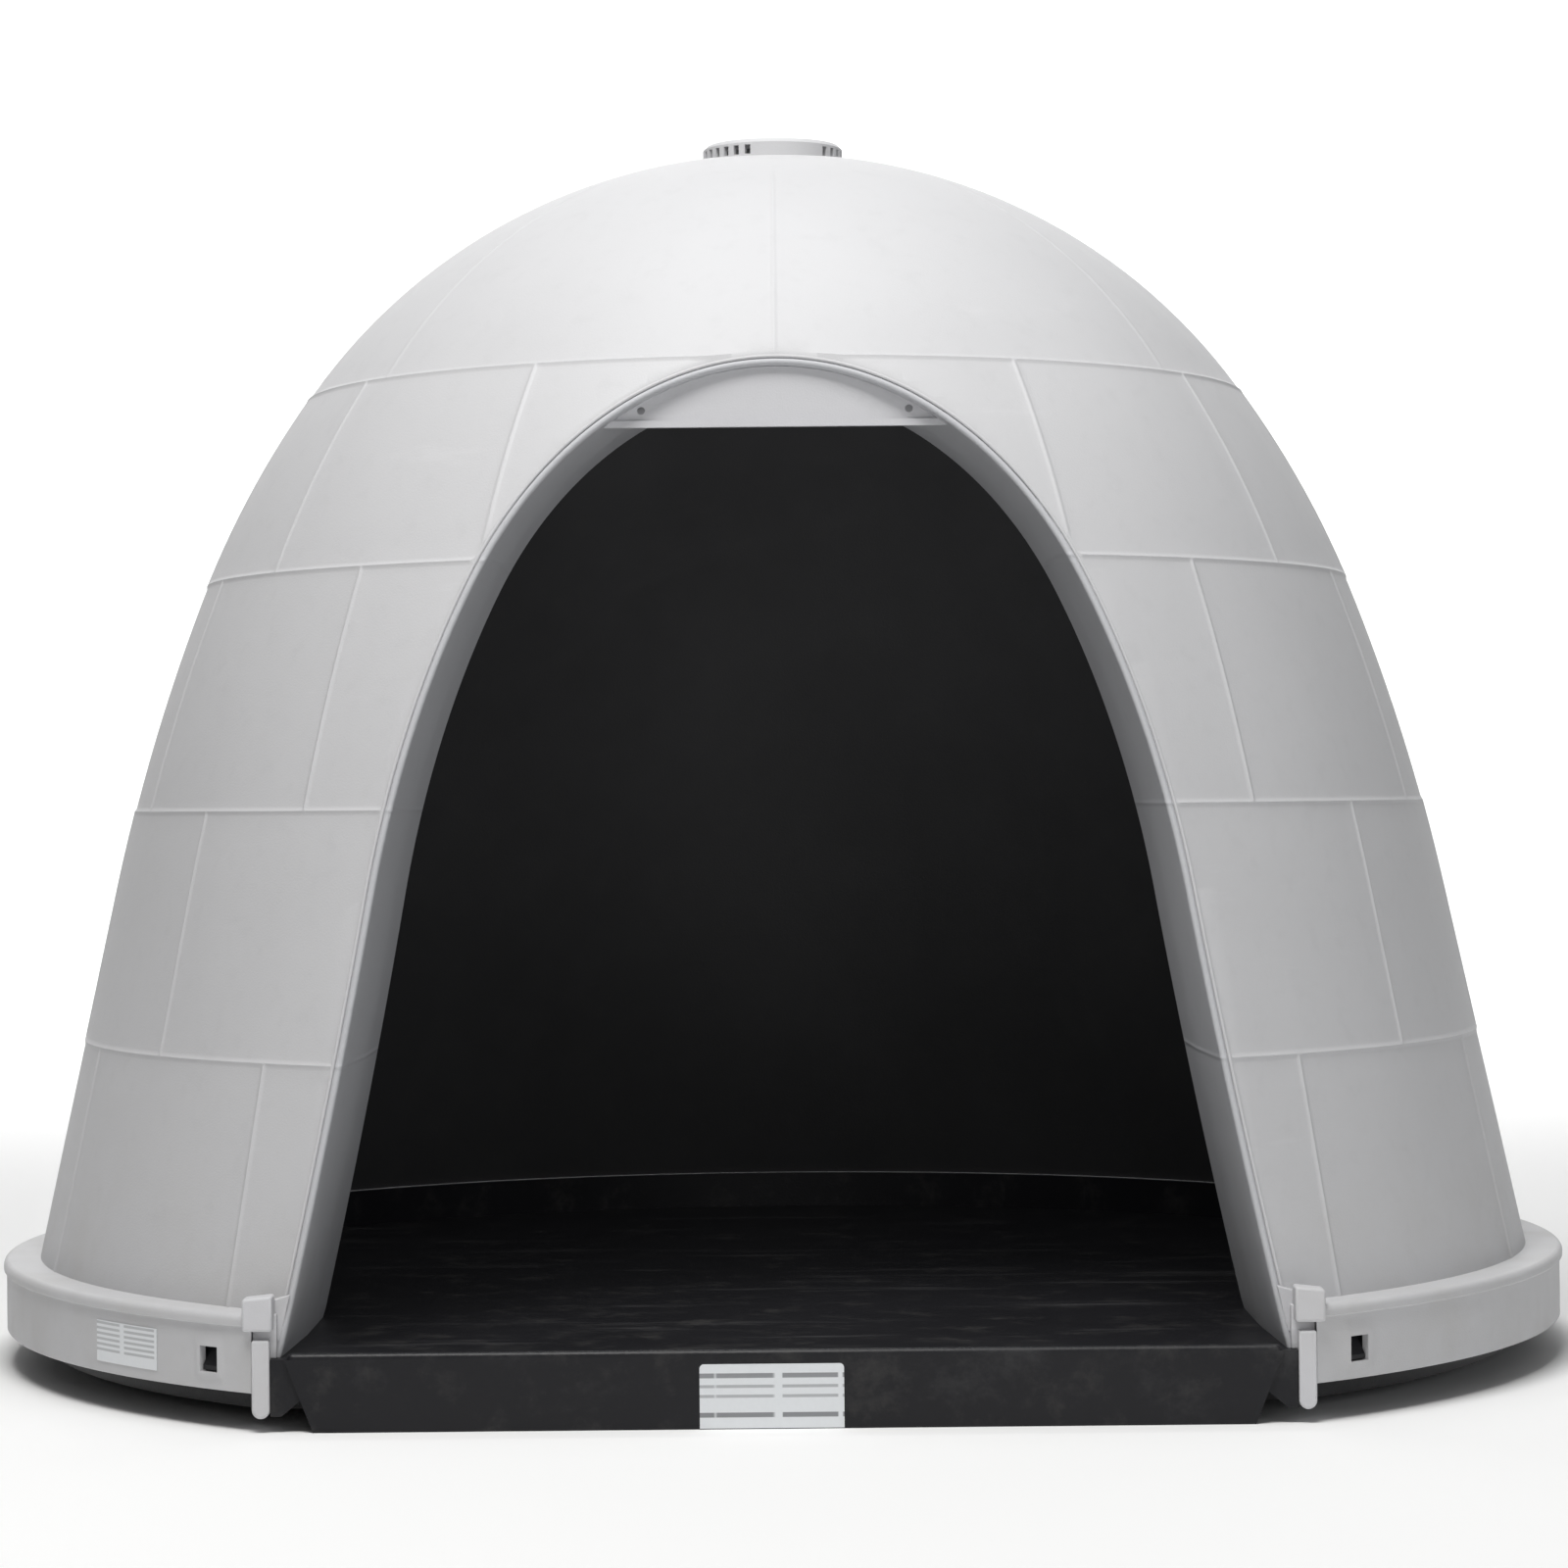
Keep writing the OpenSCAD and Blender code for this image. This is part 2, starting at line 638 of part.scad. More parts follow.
module vent_cap() {
    top = cap_z + cap_h;
    bead_low = cap_inside_z - fit_gap - 3;
    color(pale_grey) difference() {
        union() {
            rotate_extrude($fn = round_fn) polygon([
                [0, cap_inside_z], [cap_r - cap_wall, cap_inside_z],
                [cap_r - cap_wall, bead_low - 0.2], [neck_r + fit_gap, bead_low - 0.5],
                [neck_r + fit_gap, bead_low - 1.5], [cap_r - cap_wall, bead_low - 2],
                [cap_r - cap_wall, cap_z + 0.3], [cap_r - cap_wall, cap_z],
                [cap_r, cap_z], [cap_r, top - 2.5], [cap_r - 2.5, top], [0, top]]);
            // Peg that runs in the neck's stop channel
            translate([0, -peg_at, cap_inside_z - 3]) cylinder(h = 4, r = peg_r, $fn = small_fn);
        }
        for (i = [0 : 2]) for (k = [0 : slot_count - 1])
            cap_slot(slot_turn + 120 * i + (k - (slot_count - 1) / 2) * slot_pitch);
    }
}

module vent_clip() {
    // Ring pressed onto the neck from inside the dome
    color(grey)
        ring(spigot_r + clip_w, spigot_r + hair, vent_flat_z - dome_wall - clip_t,
             vent_flat_z - dome_wall);
}

// ---- Labels ----
module skirt_label() {
    turn = skirt_label_w / skirt_r * 180 / PI;
    color(white) rotate([0, 0, skirt_label_turn - 90 - turn / 2])
        rotate_extrude(angle = turn, $fn = round_fn)
            translate([skirt_r + hair, (skirt_z + ledge_z - lip_h - skirt_label_h) / 2])
                square([label_t, skirt_label_h]);
}

module tray_label() {
    corner = 2.5;
    color(white) translate([tray_label_x, front_y, 0]) rotate([90, 0, 0])
        linear_extrude(label_t) difference() {
            translate([-tray_label_w / 2, 0.5]) square([tray_label_w, tray_label_h]);
            for (side = [-1, 1])
                translate([side * (tray_label_w / 2 - corner), 0.5 + tray_label_h - corner])
                    difference() {
                        translate([side > 0 ? 0 : -corner, 0]) square(corner + skin);
                        circle(r = corner, $fn = small_fn);
                    }
        }
}

dome_shell();
doorway_frame();
door_header();
floor_tray();
snap_tab_front_left();
snap_tab_front_right();
snap_tab_rear_left();
snap_tab_rear_right();
vent_neck();
vent_cap();
vent_clip();
skirt_label();
tray_label();
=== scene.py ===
import math

import bmesh
import bpy
import numpy as np
from bpy.props import FloatProperty, FloatVectorProperty, IntProperty, PointerProperty
from bpy.types import Operator, Panel, PropertyGroup
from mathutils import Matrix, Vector


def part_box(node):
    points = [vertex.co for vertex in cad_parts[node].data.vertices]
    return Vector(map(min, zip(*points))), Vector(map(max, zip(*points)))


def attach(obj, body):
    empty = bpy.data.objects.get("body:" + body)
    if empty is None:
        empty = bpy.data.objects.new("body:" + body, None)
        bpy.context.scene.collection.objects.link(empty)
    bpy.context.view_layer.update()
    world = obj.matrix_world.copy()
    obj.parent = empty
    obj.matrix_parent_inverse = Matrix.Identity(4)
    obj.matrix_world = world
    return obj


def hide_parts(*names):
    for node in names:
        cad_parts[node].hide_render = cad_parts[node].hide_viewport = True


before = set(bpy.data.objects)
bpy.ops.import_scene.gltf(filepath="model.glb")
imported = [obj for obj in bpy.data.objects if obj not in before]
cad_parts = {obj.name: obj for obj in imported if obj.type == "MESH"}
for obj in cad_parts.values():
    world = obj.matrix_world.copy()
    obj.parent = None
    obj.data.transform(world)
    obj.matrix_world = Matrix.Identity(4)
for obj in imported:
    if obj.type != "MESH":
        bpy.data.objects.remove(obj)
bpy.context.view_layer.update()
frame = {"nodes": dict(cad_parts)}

bl_info = {
    "name": "Domed animal hutch",
    "version": (1, 0, 0),
    "blender": (4, 5, 0),
    "location": "View3D > Sidebar > Hutch",
    "description": "Builds the visible pieces and finishes of a moulded domed animal hutch",
    "category": "Object",
}

DOME_LOW, DOME_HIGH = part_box("dome_shell")
SHELTER = "shelter"
COURSES_Z = (0.611, 0.492, 0.348, 0.203)  # heights of the ring lines, from the crown down


# ---- Sizes and colours that a user would change ----
def length(name, description, default, low=0.0, high=2.0):
    """A length in metres."""
    return FloatProperty(name=name, description=description, default=default, min=low, max=high,
                         unit="LENGTH", precision=5)


def colour(name, description, default):
    """A colour, without alpha."""
    return FloatVectorProperty(name=name, description=description, default=default, size=3,
                               min=0, max=1, subtype="COLOR")


class DomeSizes(PropertyGroup):
    """Sizes of the dome and its rim."""

    rim_r: length("Rim radius", "Outside radius of the rim's lip", DOME_HIGH.x)
    crown_z: length("Crown height", "Height of the dome's curve at its axis", 0.7703)
    skin: length("Skin", "Thickness of the dome where the doorway frame backs it", 0.0012)
    ledge_z: length("Ledge height", "Height of the rim's ledge above the ground", 0.066)
    ledge_w: length("Ledge width", "Width of the ledge outside the dome", 0.023)
    skirt_z: length("Skirt height", "Height of the skirt's lower edge", DOME_LOW.z)
    ridge_h: length("Ridge height", "How far the block lines stand out", 0.0009)
    ridge_w: length("Ridge width", "Half width of the block lines", 0.0013)


class DoorSizes(PropertyGroup):
    """Sizes of the doorway."""

    top_z: length("Door height", "Height of the opening's crown above the ground", 0.6143)
    floor_z: length("Floor height", "Height of the tray's floor above the ground", 0.041)
    edge_w: length("Edge width", "Width of the edge between the dome and the frame, at the crown", 0.0086)
    edge_foot: length("Edge at the floor", "Width of that edge at the floor", 0.0048)
    edge_power: IntProperty(name="Edge power", description="How late the edge widens on its way up",
                            default=4, min=1)
    wall: length("Frame wall", "Thickness of the doorway frame", 0.004)
    splay: length("Splay", "How far the front part of the reveal opens outward", 0.004)
    bead: length("Bead", "How far the front bead stands out of the door's face", 0.002)
    depth_foot: length("Depth at the foot", "Depth of the doorway frame at the ledge", 0.182)
    depth_top: length("Depth at the crown", "Depth of the doorway frame at its crown", 0.124)
    steps: IntProperty(name="Steps", description="Steps up each side of the arch", default=120, min=24)


class Finishes(PropertyGroup):
    """Colours of the materials."""

    dome: colour("Dome", "Light grey moulded plastic", (0.54, 0.54, 0.552))
    frame: colour("Frame", "Grey of the doorway frame", (0.49, 0.495, 0.515))
    trim: colour("Trim", "Light grey of the header plate and the corners", (0.58, 0.58, 0.60))
    tray: colour("Tray", "Black of the floor tray", (0.0085, 0.0085, 0.0105))
    # The inside colour is painted shade: a near-black that stands in for the shade in the dome's unlit
    # hollow.
    inside: colour("Inside", "Painted shade on the dome's inside", (0.036, 0.036, 0.0375))
    paper: colour("Paper", "White of the labels", (0.72, 0.74, 0.76))


# ---- The dome's curve and the door's face, by the same rules as the solids ----
def direction(angle):
    """Unit vector at an angle above the horizontal."""
    return np.array([math.cos(angle), math.sin(angle)])


class Outline:
    """The dome's outside: a straight leaning leg, then haunch, shoulder and crown arcs, each tangent
    to the next, turned about the axis. The crown's radius brings the leg to the dome's foot."""

    LEAN, HAUNCH_END, SHOULDER_END = (math.radians(a) for a in (12.3, 21.3, 36.3))
    HAUNCH_R, SHOULDER_R, FLAT_R = 1.240, 0.594, 0.078
    DOOR_HALF_W, DOOR_BOW = 0.2823, 0.0062
    FIN_W, FIN_GAP = 0.010, 0.0014  # the front fins' width, and their gap to the frame
    ARC_STEPS, LEG_STEPS = 500, 200

    def __init__(self, dome, door):
        self.dome, self.door = dome, door
        foot_r = dome.rim_r - dome.ledge_w
        lean = math.tan(self.LEAN)
        crown_way, shoulder_way, leg_way = map(direction, (self.SHOULDER_END, self.HAUNCH_END, self.LEAN))
        chain = (-self.SHOULDER_R * crown_way + (self.SHOULDER_R - self.HAUNCH_R) * shoulder_way
                 + self.HAUNCH_R * leg_way) + np.array([0, dome.crown_z])
        share = math.cos(self.SHOULDER_END) + (math.sin(self.SHOULDER_END) - 1) * lean
        self.crown_r = (foot_r - chain[0] - (chain[1] - dome.ledge_z) * lean) / share
        self.crown_c = np.array([0, dome.crown_z - self.crown_r])
        self.shoulder_c = self.crown_c + (self.crown_r - self.SHOULDER_R) * crown_way
        self.haunch_c = self.shoulder_c + (self.SHOULDER_R - self.HAUNCH_R) * shoulder_way
        self.leg_top = self.haunch_c + self.HAUNCH_R * leg_way
        self.flat_angle = math.acos(self.FLAT_R / self.crown_r)
        self.flat_z = self.crown_c[1] + self.crown_r * math.sin(self.flat_angle)
        self._tabulate()
        self._set_face()

    def _tabulate(self):
        """Points down the curve from the vent's flat to the ledge, with their outward directions."""
        arcs = [(self.crown_c, self.crown_r, self.flat_angle, self.SHOULDER_END),
                (self.shoulder_c, self.SHOULDER_R, self.SHOULDER_END, self.HAUNCH_END),
                (self.haunch_c, self.HAUNCH_R, self.HAUNCH_END, self.LEAN)]
        points, tilts = [], []
        for centre, radius, start, end in arcs:
            tilt = np.linspace(start, end, self.ARC_STEPS)
            points.append(centre + radius * np.stack([np.cos(tilt), np.sin(tilt)], 1))
            tilts.append(tilt)
        drop = np.linspace(0, self.leg_top[1] - self.dome.ledge_z, self.LEG_STEPS)
        points.append(self.leg_top + np.stack([drop * math.tan(self.LEAN), -drop], 1))
        tilts.append(np.full(self.LEG_STEPS, self.LEAN))
        self.points, self.tilts = np.concatenate(points), np.concatenate(tilts)
        steps = np.linalg.norm(np.diff(self.points, axis=0), axis=1)
        self.run = np.concatenate([[0], np.cumsum(steps)])

    def at(self, run):
        """Radius, height and tilt at a distance down the curve."""
        return (np.interp(run, self.run, self.points[:, 0]), np.interp(run, self.run, self.points[:, 1]),
                np.interp(run, self.run, self.tilts))

    def radius(self, z):
        """Outside radius at a height, straight on down the leg below the ledge."""
        above = np.interp(-np.asarray(z, float), -self.points[:, 1], self.points[:, 0])
        below = self.leg_top[0] + (self.leg_top[1] - z) * math.tan(self.LEAN)
        return np.where(z < self.leg_top[1], below, above)

    def run_at(self, z):
        """Distance down the curve at a height."""
        return float(np.interp(-z, -self.points[:, 1], self.run))

    def _set_face(self):
        """The door's face is a large cylinder lying across the dome, bowed forward and leaning back."""
        low_z, top_z = self.dome.ledge_z, self.door.top_z
        low_y = -math.sqrt(float(self.radius(low_z)) ** 2 - self.DOOR_HALF_W ** 2)
        self.foot_y, self.top_y = low_y, -float(self.radius(top_z))
        chord = np.array([self.top_y - low_y, top_z - low_z])
        span = np.linalg.norm(chord)
        self.face_r = (span ** 2 / 4 + self.DOOR_BOW ** 2) / (2 * self.DOOR_BOW)
        middle = np.array([low_y + self.top_y, low_z + top_z]) / 2
        back = np.array([chord[1], -chord[0]]) / span
        self.face_c = middle + (self.face_r - self.DOOR_BOW) * back

    def face_y(self, z):
        """Where the door's face is at a height."""
        return self.face_c[0] - np.sqrt(self.face_r ** 2 - (z - self.face_c[1]) ** 2)

    def foot_x(self):
        """How far out the doorway frame's inner side stands on the floor."""
        z = self.door.floor_z
        return math.sqrt(float(self.radius(z)) ** 2 - float(self.face_y(z)) ** 2) - self.door.edge_foot

    def fin_x(self):
        """How far out the inner side of each front fin stands, just clear of the frame's foot."""
        return self.foot_x() + self.door.wall + self.FIN_GAP

    def arch(self, steps):
        """The section of the dome by the door's face, from the right foot over the crown to the left:
        points (x, z) and outward directions. Heights follow a sine, so steps shrink to the crown."""
        quarter = np.linspace(0, math.pi / 2, steps + 1)
        z = self.door.floor_z + (self.door.top_z - self.door.floor_z) * np.sin(quarter)
        x = np.sqrt(np.maximum(0, self.radius(z) ** 2 - self.face_y(z) ** 2))
        x[-1] = 0
        x, z = np.concatenate([x, -x[-2::-1]]), np.concatenate([z, z[-2::-1]])
        along = np.stack([np.gradient(x), np.gradient(z)], 1)
        along /= np.linalg.norm(along, axis=1)[:, None]
        return np.stack([x, z], 1), np.stack([along[:, 1], -along[:, 0]], 1)

    def edge_at(self, z):
        """Width of the edge, which widens late on its way up to the crown."""
        door = self.door
        share = (z - door.floor_z) / (door.top_z - door.floor_z)
        return door.edge_foot + (door.edge_w - door.edge_foot) * share ** door.edge_power


def outline():
    """The outline for the sizes that are set now."""
    scene = bpy.context.scene
    return Outline(scene.hutch_dome, scene.hutch_door)


# ---- Mesh making ----
def grid_faces(rows, columns, close_rows, close_columns):
    """Quads of a grid, rows by columns, joined round where asked."""
    i = np.arange(rows if close_rows else rows - 1)
    j = np.arange(columns if close_columns else columns - 1)
    i, j = (a.ravel() for a in np.meshgrid(i, j, indexing="ij"))
    i1, j1 = (i + 1) % rows, (j + 1) % columns
    return np.stack([i * columns + j, i * columns + j1, i1 * columns + j1, i1 * columns + j], 1)


def new_piece(name, points, faces, material, body=SHELTER):
    """A mesh object at the origin, riding on a body, with its faces turned outward."""
    mesh = bpy.data.meshes.new(name)
    mesh.from_pydata(np.asarray(points, float).reshape(-1, 3), [], [tuple(map(int, f)) for f in faces])
    piece = bpy.data.objects.new(name, mesh)
    bpy.context.scene.collection.objects.link(piece)
    turn_outward(mesh)
    mesh.polygons.foreach_set("use_smooth", np.ones(len(mesh.polygons), bool))
    for finish in material if isinstance(material, (list, tuple)) else [material]:
        mesh.materials.append(finish)
    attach(piece, body)
    return piece


def turn_outward(mesh):
    """Merges doubles, then points every face of a closed shell outward."""
    shape = bmesh.new()
    shape.from_mesh(mesh)
    bmesh.ops.remove_doubles(shape, verts=shape.verts, dist=1e-6)
    bmesh.ops.recalc_face_normals(shape, faces=shape.faces)
    shape.to_mesh(mesh)
    shape.free()


def sharpen(piece, degrees=32):
    """Keeps edges crisp where faces meet at more than an angle."""
    piece.data.set_sharp_from_angle(angle=math.radians(degrees))


def soften(piece, width):
    """Rounds a piece's edges."""
    bevel = piece.modifiers.new("Rounding", "BEVEL")
    bevel.width = width
    bevel.segments = 3
    bevel.limit_method = "ANGLE"
    bevel.angle_limit = math.radians(30)


def prism(name, profile, low_y, high_y, material, rounding):
    """A closed outline in X and Z carried from front to back, with flat ends and rounded edges."""
    profile = np.asarray(profile, float)
    count = len(profile)
    points = np.array([[x, y, z] for y in (low_y, high_y) for x, z in profile])
    faces = [list(f) for f in grid_faces(2, count, False, True)]
    faces += [list(range(count)), list(range(count, 2 * count))]
    piece = new_piece(name, points, faces, material)
    sharpen(piece)
    soften(piece, rounding)
    return piece


# ---- Shader maths ----
class Value:
    """A number that varies over a surface. Arithmetic on it adds Math nodes."""

    def __init__(self, finish, socket):
        self.finish, self.socket = finish, socket

    def math(self, operation, *others, clamp=False):
        """A Math node with this value first."""
        return self.finish.node("ShaderNodeMath", {"operation": operation, "use_clamp": clamp},
                                *(self, *others))

    def __add__(self, other):
        return self.math("ADD", other)

    def __radd__(self, other):
        return self.math("ADD", other)

    def __sub__(self, other):
        return self.math("SUBTRACT", other)

    def __rsub__(self, other):
        return self.finish.node("ShaderNodeMath", {"operation": "SUBTRACT"}, other, self)

    def __mul__(self, other):
        return self.math("MULTIPLY", other)

    def __truediv__(self, other):
        return self.math("DIVIDE", other)

    def clamped(self):
        """Held between 0 and 1."""
        return self.math("ADD", 0.0, clamp=True)

    def bell(self, centre, half_width):
        """1 at the centre, falling off smoothly over the half width."""
        away = (self - centre) / half_width
        return self.finish.node("ShaderNodeMath", {"operation": "POWER"}, math.e, away * away * -1.0)

    def ramp(self, low, high):
        """0 below low, 1 above high, smooth between."""
        return self.finish.node("ShaderNodeMapRange", {"interpolation_type": "SMOOTHSTEP"},
                                self, low, high, 0.0, 1.0)


class Finish:
    """A material on the principled shader, with patterns on Object coordinates."""

    MIX_SHARE, MIX_COLOURS, MIX_RESULT = 0, (6, 7), 2  # places of the colour mix node's sockets

    def __init__(self, name, base, roughness, **constants):
        self.material = bpy.data.materials.new(name)
        self.material.use_nodes = True
        self.tree = self.material.node_tree
        self.shader = self.tree.nodes["Principled BSDF"]
        self.shader.inputs["Base Color"].default_value = (*base, 1)
        self.shader.inputs["Roughness"].default_value = roughness
        for socket, value in constants.items():
            self.shader.inputs[socket.replace("_", " ")].default_value = value
        self.where = self.node("ShaderNodeTexCoord", {}, out="Object")

    def node(self, kind, settings, *values, out=0, **named):
        """Adds a node: its settings first, then its sockets in order or by name."""
        node = self.tree.nodes.new(kind)
        for key, value in settings.items():
            setattr(node, key, value)
        for key, value in [*enumerate(values), *named.items()]:
            socket = node.inputs[key]
            if isinstance(value, Value):
                self.tree.links.new(value.socket, socket)
            else:
                socket.default_value = value
        return Value(self, node.outputs[out])

    def noise(self, scale, detail, roughness=0.55, at=None):
        """Cloudy noise from 0 to 1, on Object coordinates unless others are given."""
        return self.node("ShaderNodeTexNoise", {}, out="Fac", Vector=at or self.where,
                         Scale=scale, Detail=detail, Roughness=roughness)

    def stretched(self, x, y, z):
        """Object coordinates scaled along each axis."""
        return self.node("ShaderNodeMapping", {}, Vector=self.where, Scale=(x, y, z), out="Vector")

    def axis(self, name):
        """One of the three Object coordinates."""
        return self.node("ShaderNodeSeparateXYZ", {}, self.where, out=name)

    def mix(self, share, first, second):
        """Colour from first to second by share."""
        node = self.tree.nodes.new("ShaderNodeMix")
        node.data_type = "RGBA"
        self.tree.links.new(share.socket, node.inputs[self.MIX_SHARE])
        for place, value in zip(self.MIX_COLOURS, (first, second)):
            if isinstance(value, Value):
                self.tree.links.new(value.socket, node.inputs[place])
            else:
                node.inputs[place].default_value = (*value, 1)
        return Value(self, node.outputs[self.MIX_RESULT])

    def set(self, socket, value):
        """Links a value to one of the shader's inputs."""
        self.tree.links.new(value.socket, self.shader.inputs[socket])

    def bump(self, height, distance, strength):
        """Surface relief, with its depth in metres."""
        self.set("Normal", self.node("ShaderNodeBump", {}, out="Normal", Strength=strength,
                                     Distance=distance, Height=height))


def shade(rgb, factor):
    """A colour made lighter or darker."""
    return tuple(min(1.0, c * factor) for c in rgb)


SEAM_HALF, SEAM_RELIEF = 0.0013, 1.5


def moulded_grey(name, base, seams_z=()):
    """Satin moulded plastic: fine pebbled skin, cloudy colour, thin scuffs, dust low down, and a
    raised seam at each given height."""
    finish = Finish(name, base, 0.5, Specular_IOR_Level=0.2)
    clouds = finish.noise(5.5, 3.0)
    flecks = finish.noise(75.0, 3.0)
    scuffs = finish.noise(9.0, 6.0, 0.7, finish.stretched(1.0, 1.0, 7.0)).ramp(0.60, 0.72)
    pebble = finish.noise(900.0, 2.0, 0.5)
    height = finish.axis("Z")
    dust = (1.0 - height.ramp(0.03, 0.20)) * finish.noise(16.0, 5.0).ramp(0.38, 0.70)
    colour_now = finish.mix(clouds, shade(base, 0.95), shade(base, 1.05))
    colour_now = finish.mix(flecks.ramp(0.5, 0.8) * 0.25, colour_now, shade(base, 0.88))
    colour_now = finish.mix(scuffs * 0.22, colour_now, shade(base, 1.14))
    colour_now = finish.mix(dust * 0.22, colour_now, (base[0] * 0.80, base[1] * 0.77, base[2] * 0.70))
    finish.set("Base Color", colour_now)
    finish.set("Roughness", (0.44 + clouds * 0.10 + scuffs * 0.12 + dust * 0.10).clamped())
    relief = pebble * 0.35 + flecks * 0.35 + clouds * 0.3
    for seam in seams_z:
        relief = relief + height.bell(seam, SEAM_HALF) * SEAM_RELIEF
    finish.bump(relief, 0.0009, 0.35)
    return finish.material


def black_plastic(name, base, worn):
    """Black moulded plastic with fine grain; a worn floor has long pale streaks and dust."""
    finish = Finish(name, base, 0.45, Specular_IOR_Level=0.28)
    grain = finish.noise(700.0, 2.0, 0.5)
    clouds = finish.noise(7.0, 5.0, 0.6)
    streaks = finish.noise(6.0, 7.0, 0.72, finish.stretched(0.8, 7.0, 1.0)).ramp(0.54, 0.70)
    dust = finish.noise(34.0, 6.0, 0.7).ramp(0.50, 0.78)
    colour_now = finish.mix(clouds, shade(base, 0.8), shade(base, 1.35))
    colour_now = finish.mix(streaks * worn, colour_now, (0.045, 0.045, 0.047))
    colour_now = finish.mix(dust * worn * 0.6, colour_now, (0.06, 0.058, 0.055))
    finish.set("Base Color", colour_now)
    finish.set("Roughness", (0.34 + clouds * 0.14 + streaks * 0.16 + dust * 0.08).clamped())
    finish.bump(grain * 0.6 + clouds * 0.4, 0.0006, 0.30)
    return finish.material


INK, INK_EDGE = (0.10, 0.10, 0.11), 0.0003


def printed_paper(name, base, along, bars):
    """White label with generic grey bars. Along is the direction the bars run in, and each bar is
    (height, half height, darkness)."""
    finish = Finish(name, base, 0.30, Coat_Weight=0.25, Coat_Roughness=0.15)
    height = finish.axis("Z")
    run = finish.node("ShaderNodeVectorMath", {"operation": "DOT_PRODUCT"}, finish.where, along,
                      out="Value")
    breaks = finish.node("ShaderNodeTexNoise", {"noise_dimensions": "1D"}, out="Fac", W=run,
                         Scale=110.0, Detail=1.0).ramp(0.34, 0.42)
    ink = None
    for z, half, dark in bars:
        above_low = height.ramp(z - half - INK_EDGE, z - half)
        bar = above_low * (1.0 - height.ramp(z + half, z + half + INK_EDGE))
        ink = bar * dark if ink is None else ink + bar * dark
    fibre = finish.noise(420.0, 3.0)
    paper = finish.mix(fibre, shade(base, 0.96), shade(base, 1.03))
    finish.set("Base Color", finish.mix((ink * breaks).clamped(), paper, INK))
    finish.bump(fibre, 0.0002, 0.2)
    return finish.material


# Bars of each label: height of the middle, half height, darkness
TRAY_BARS = ((0.0300, 0.0012, 0.75), (0.0240, 0.0007, 0.5), (0.0185, 0.0007, 0.5), (0.0080, 0.0012, 0.8))
SKIRT_BARS = tuple((0.0510 - 0.0031 * k, 0.0006, 0.45) for k in range(6))
SKIRT_LABEL_TURN = math.radians(-49.65)
FINISHES = {}


def make_finishes():
    """All the materials, once."""
    if FINISHES:
        return FINISHES
    colours = bpy.context.scene.hutch_finishes
    skirt_run = (math.cos(SKIRT_LABEL_TURN), math.sin(SKIRT_LABEL_TURN), 0)
    FINISHES.update(
        dome=moulded_grey("dome grey", tuple(colours.dome)),
        frame=moulded_grey("frame grey", tuple(colours.frame), COURSES_Z[1:]),
        trim=moulded_grey("trim grey", tuple(colours.trim)),
        # The inside finish is painted shade: near-black plastic in place of the dome's grey, standing in
        # for the unlit hollow.
        inside=black_plastic("inside painted shade", tuple(colours.inside), 0.15),
        tray=black_plastic("tray black", tuple(colours.tray), 0.75),
        tab=black_plastic("tab black", tuple(colours.tray), 0.2),
        tray_paper=printed_paper("tray label", tuple(colours.paper), (1, 0, 0), TRAY_BARS),
        skirt_paper=printed_paper("skirt label", tuple(colours.paper), skirt_run, SKIRT_BARS),
    )
    return FINISHES


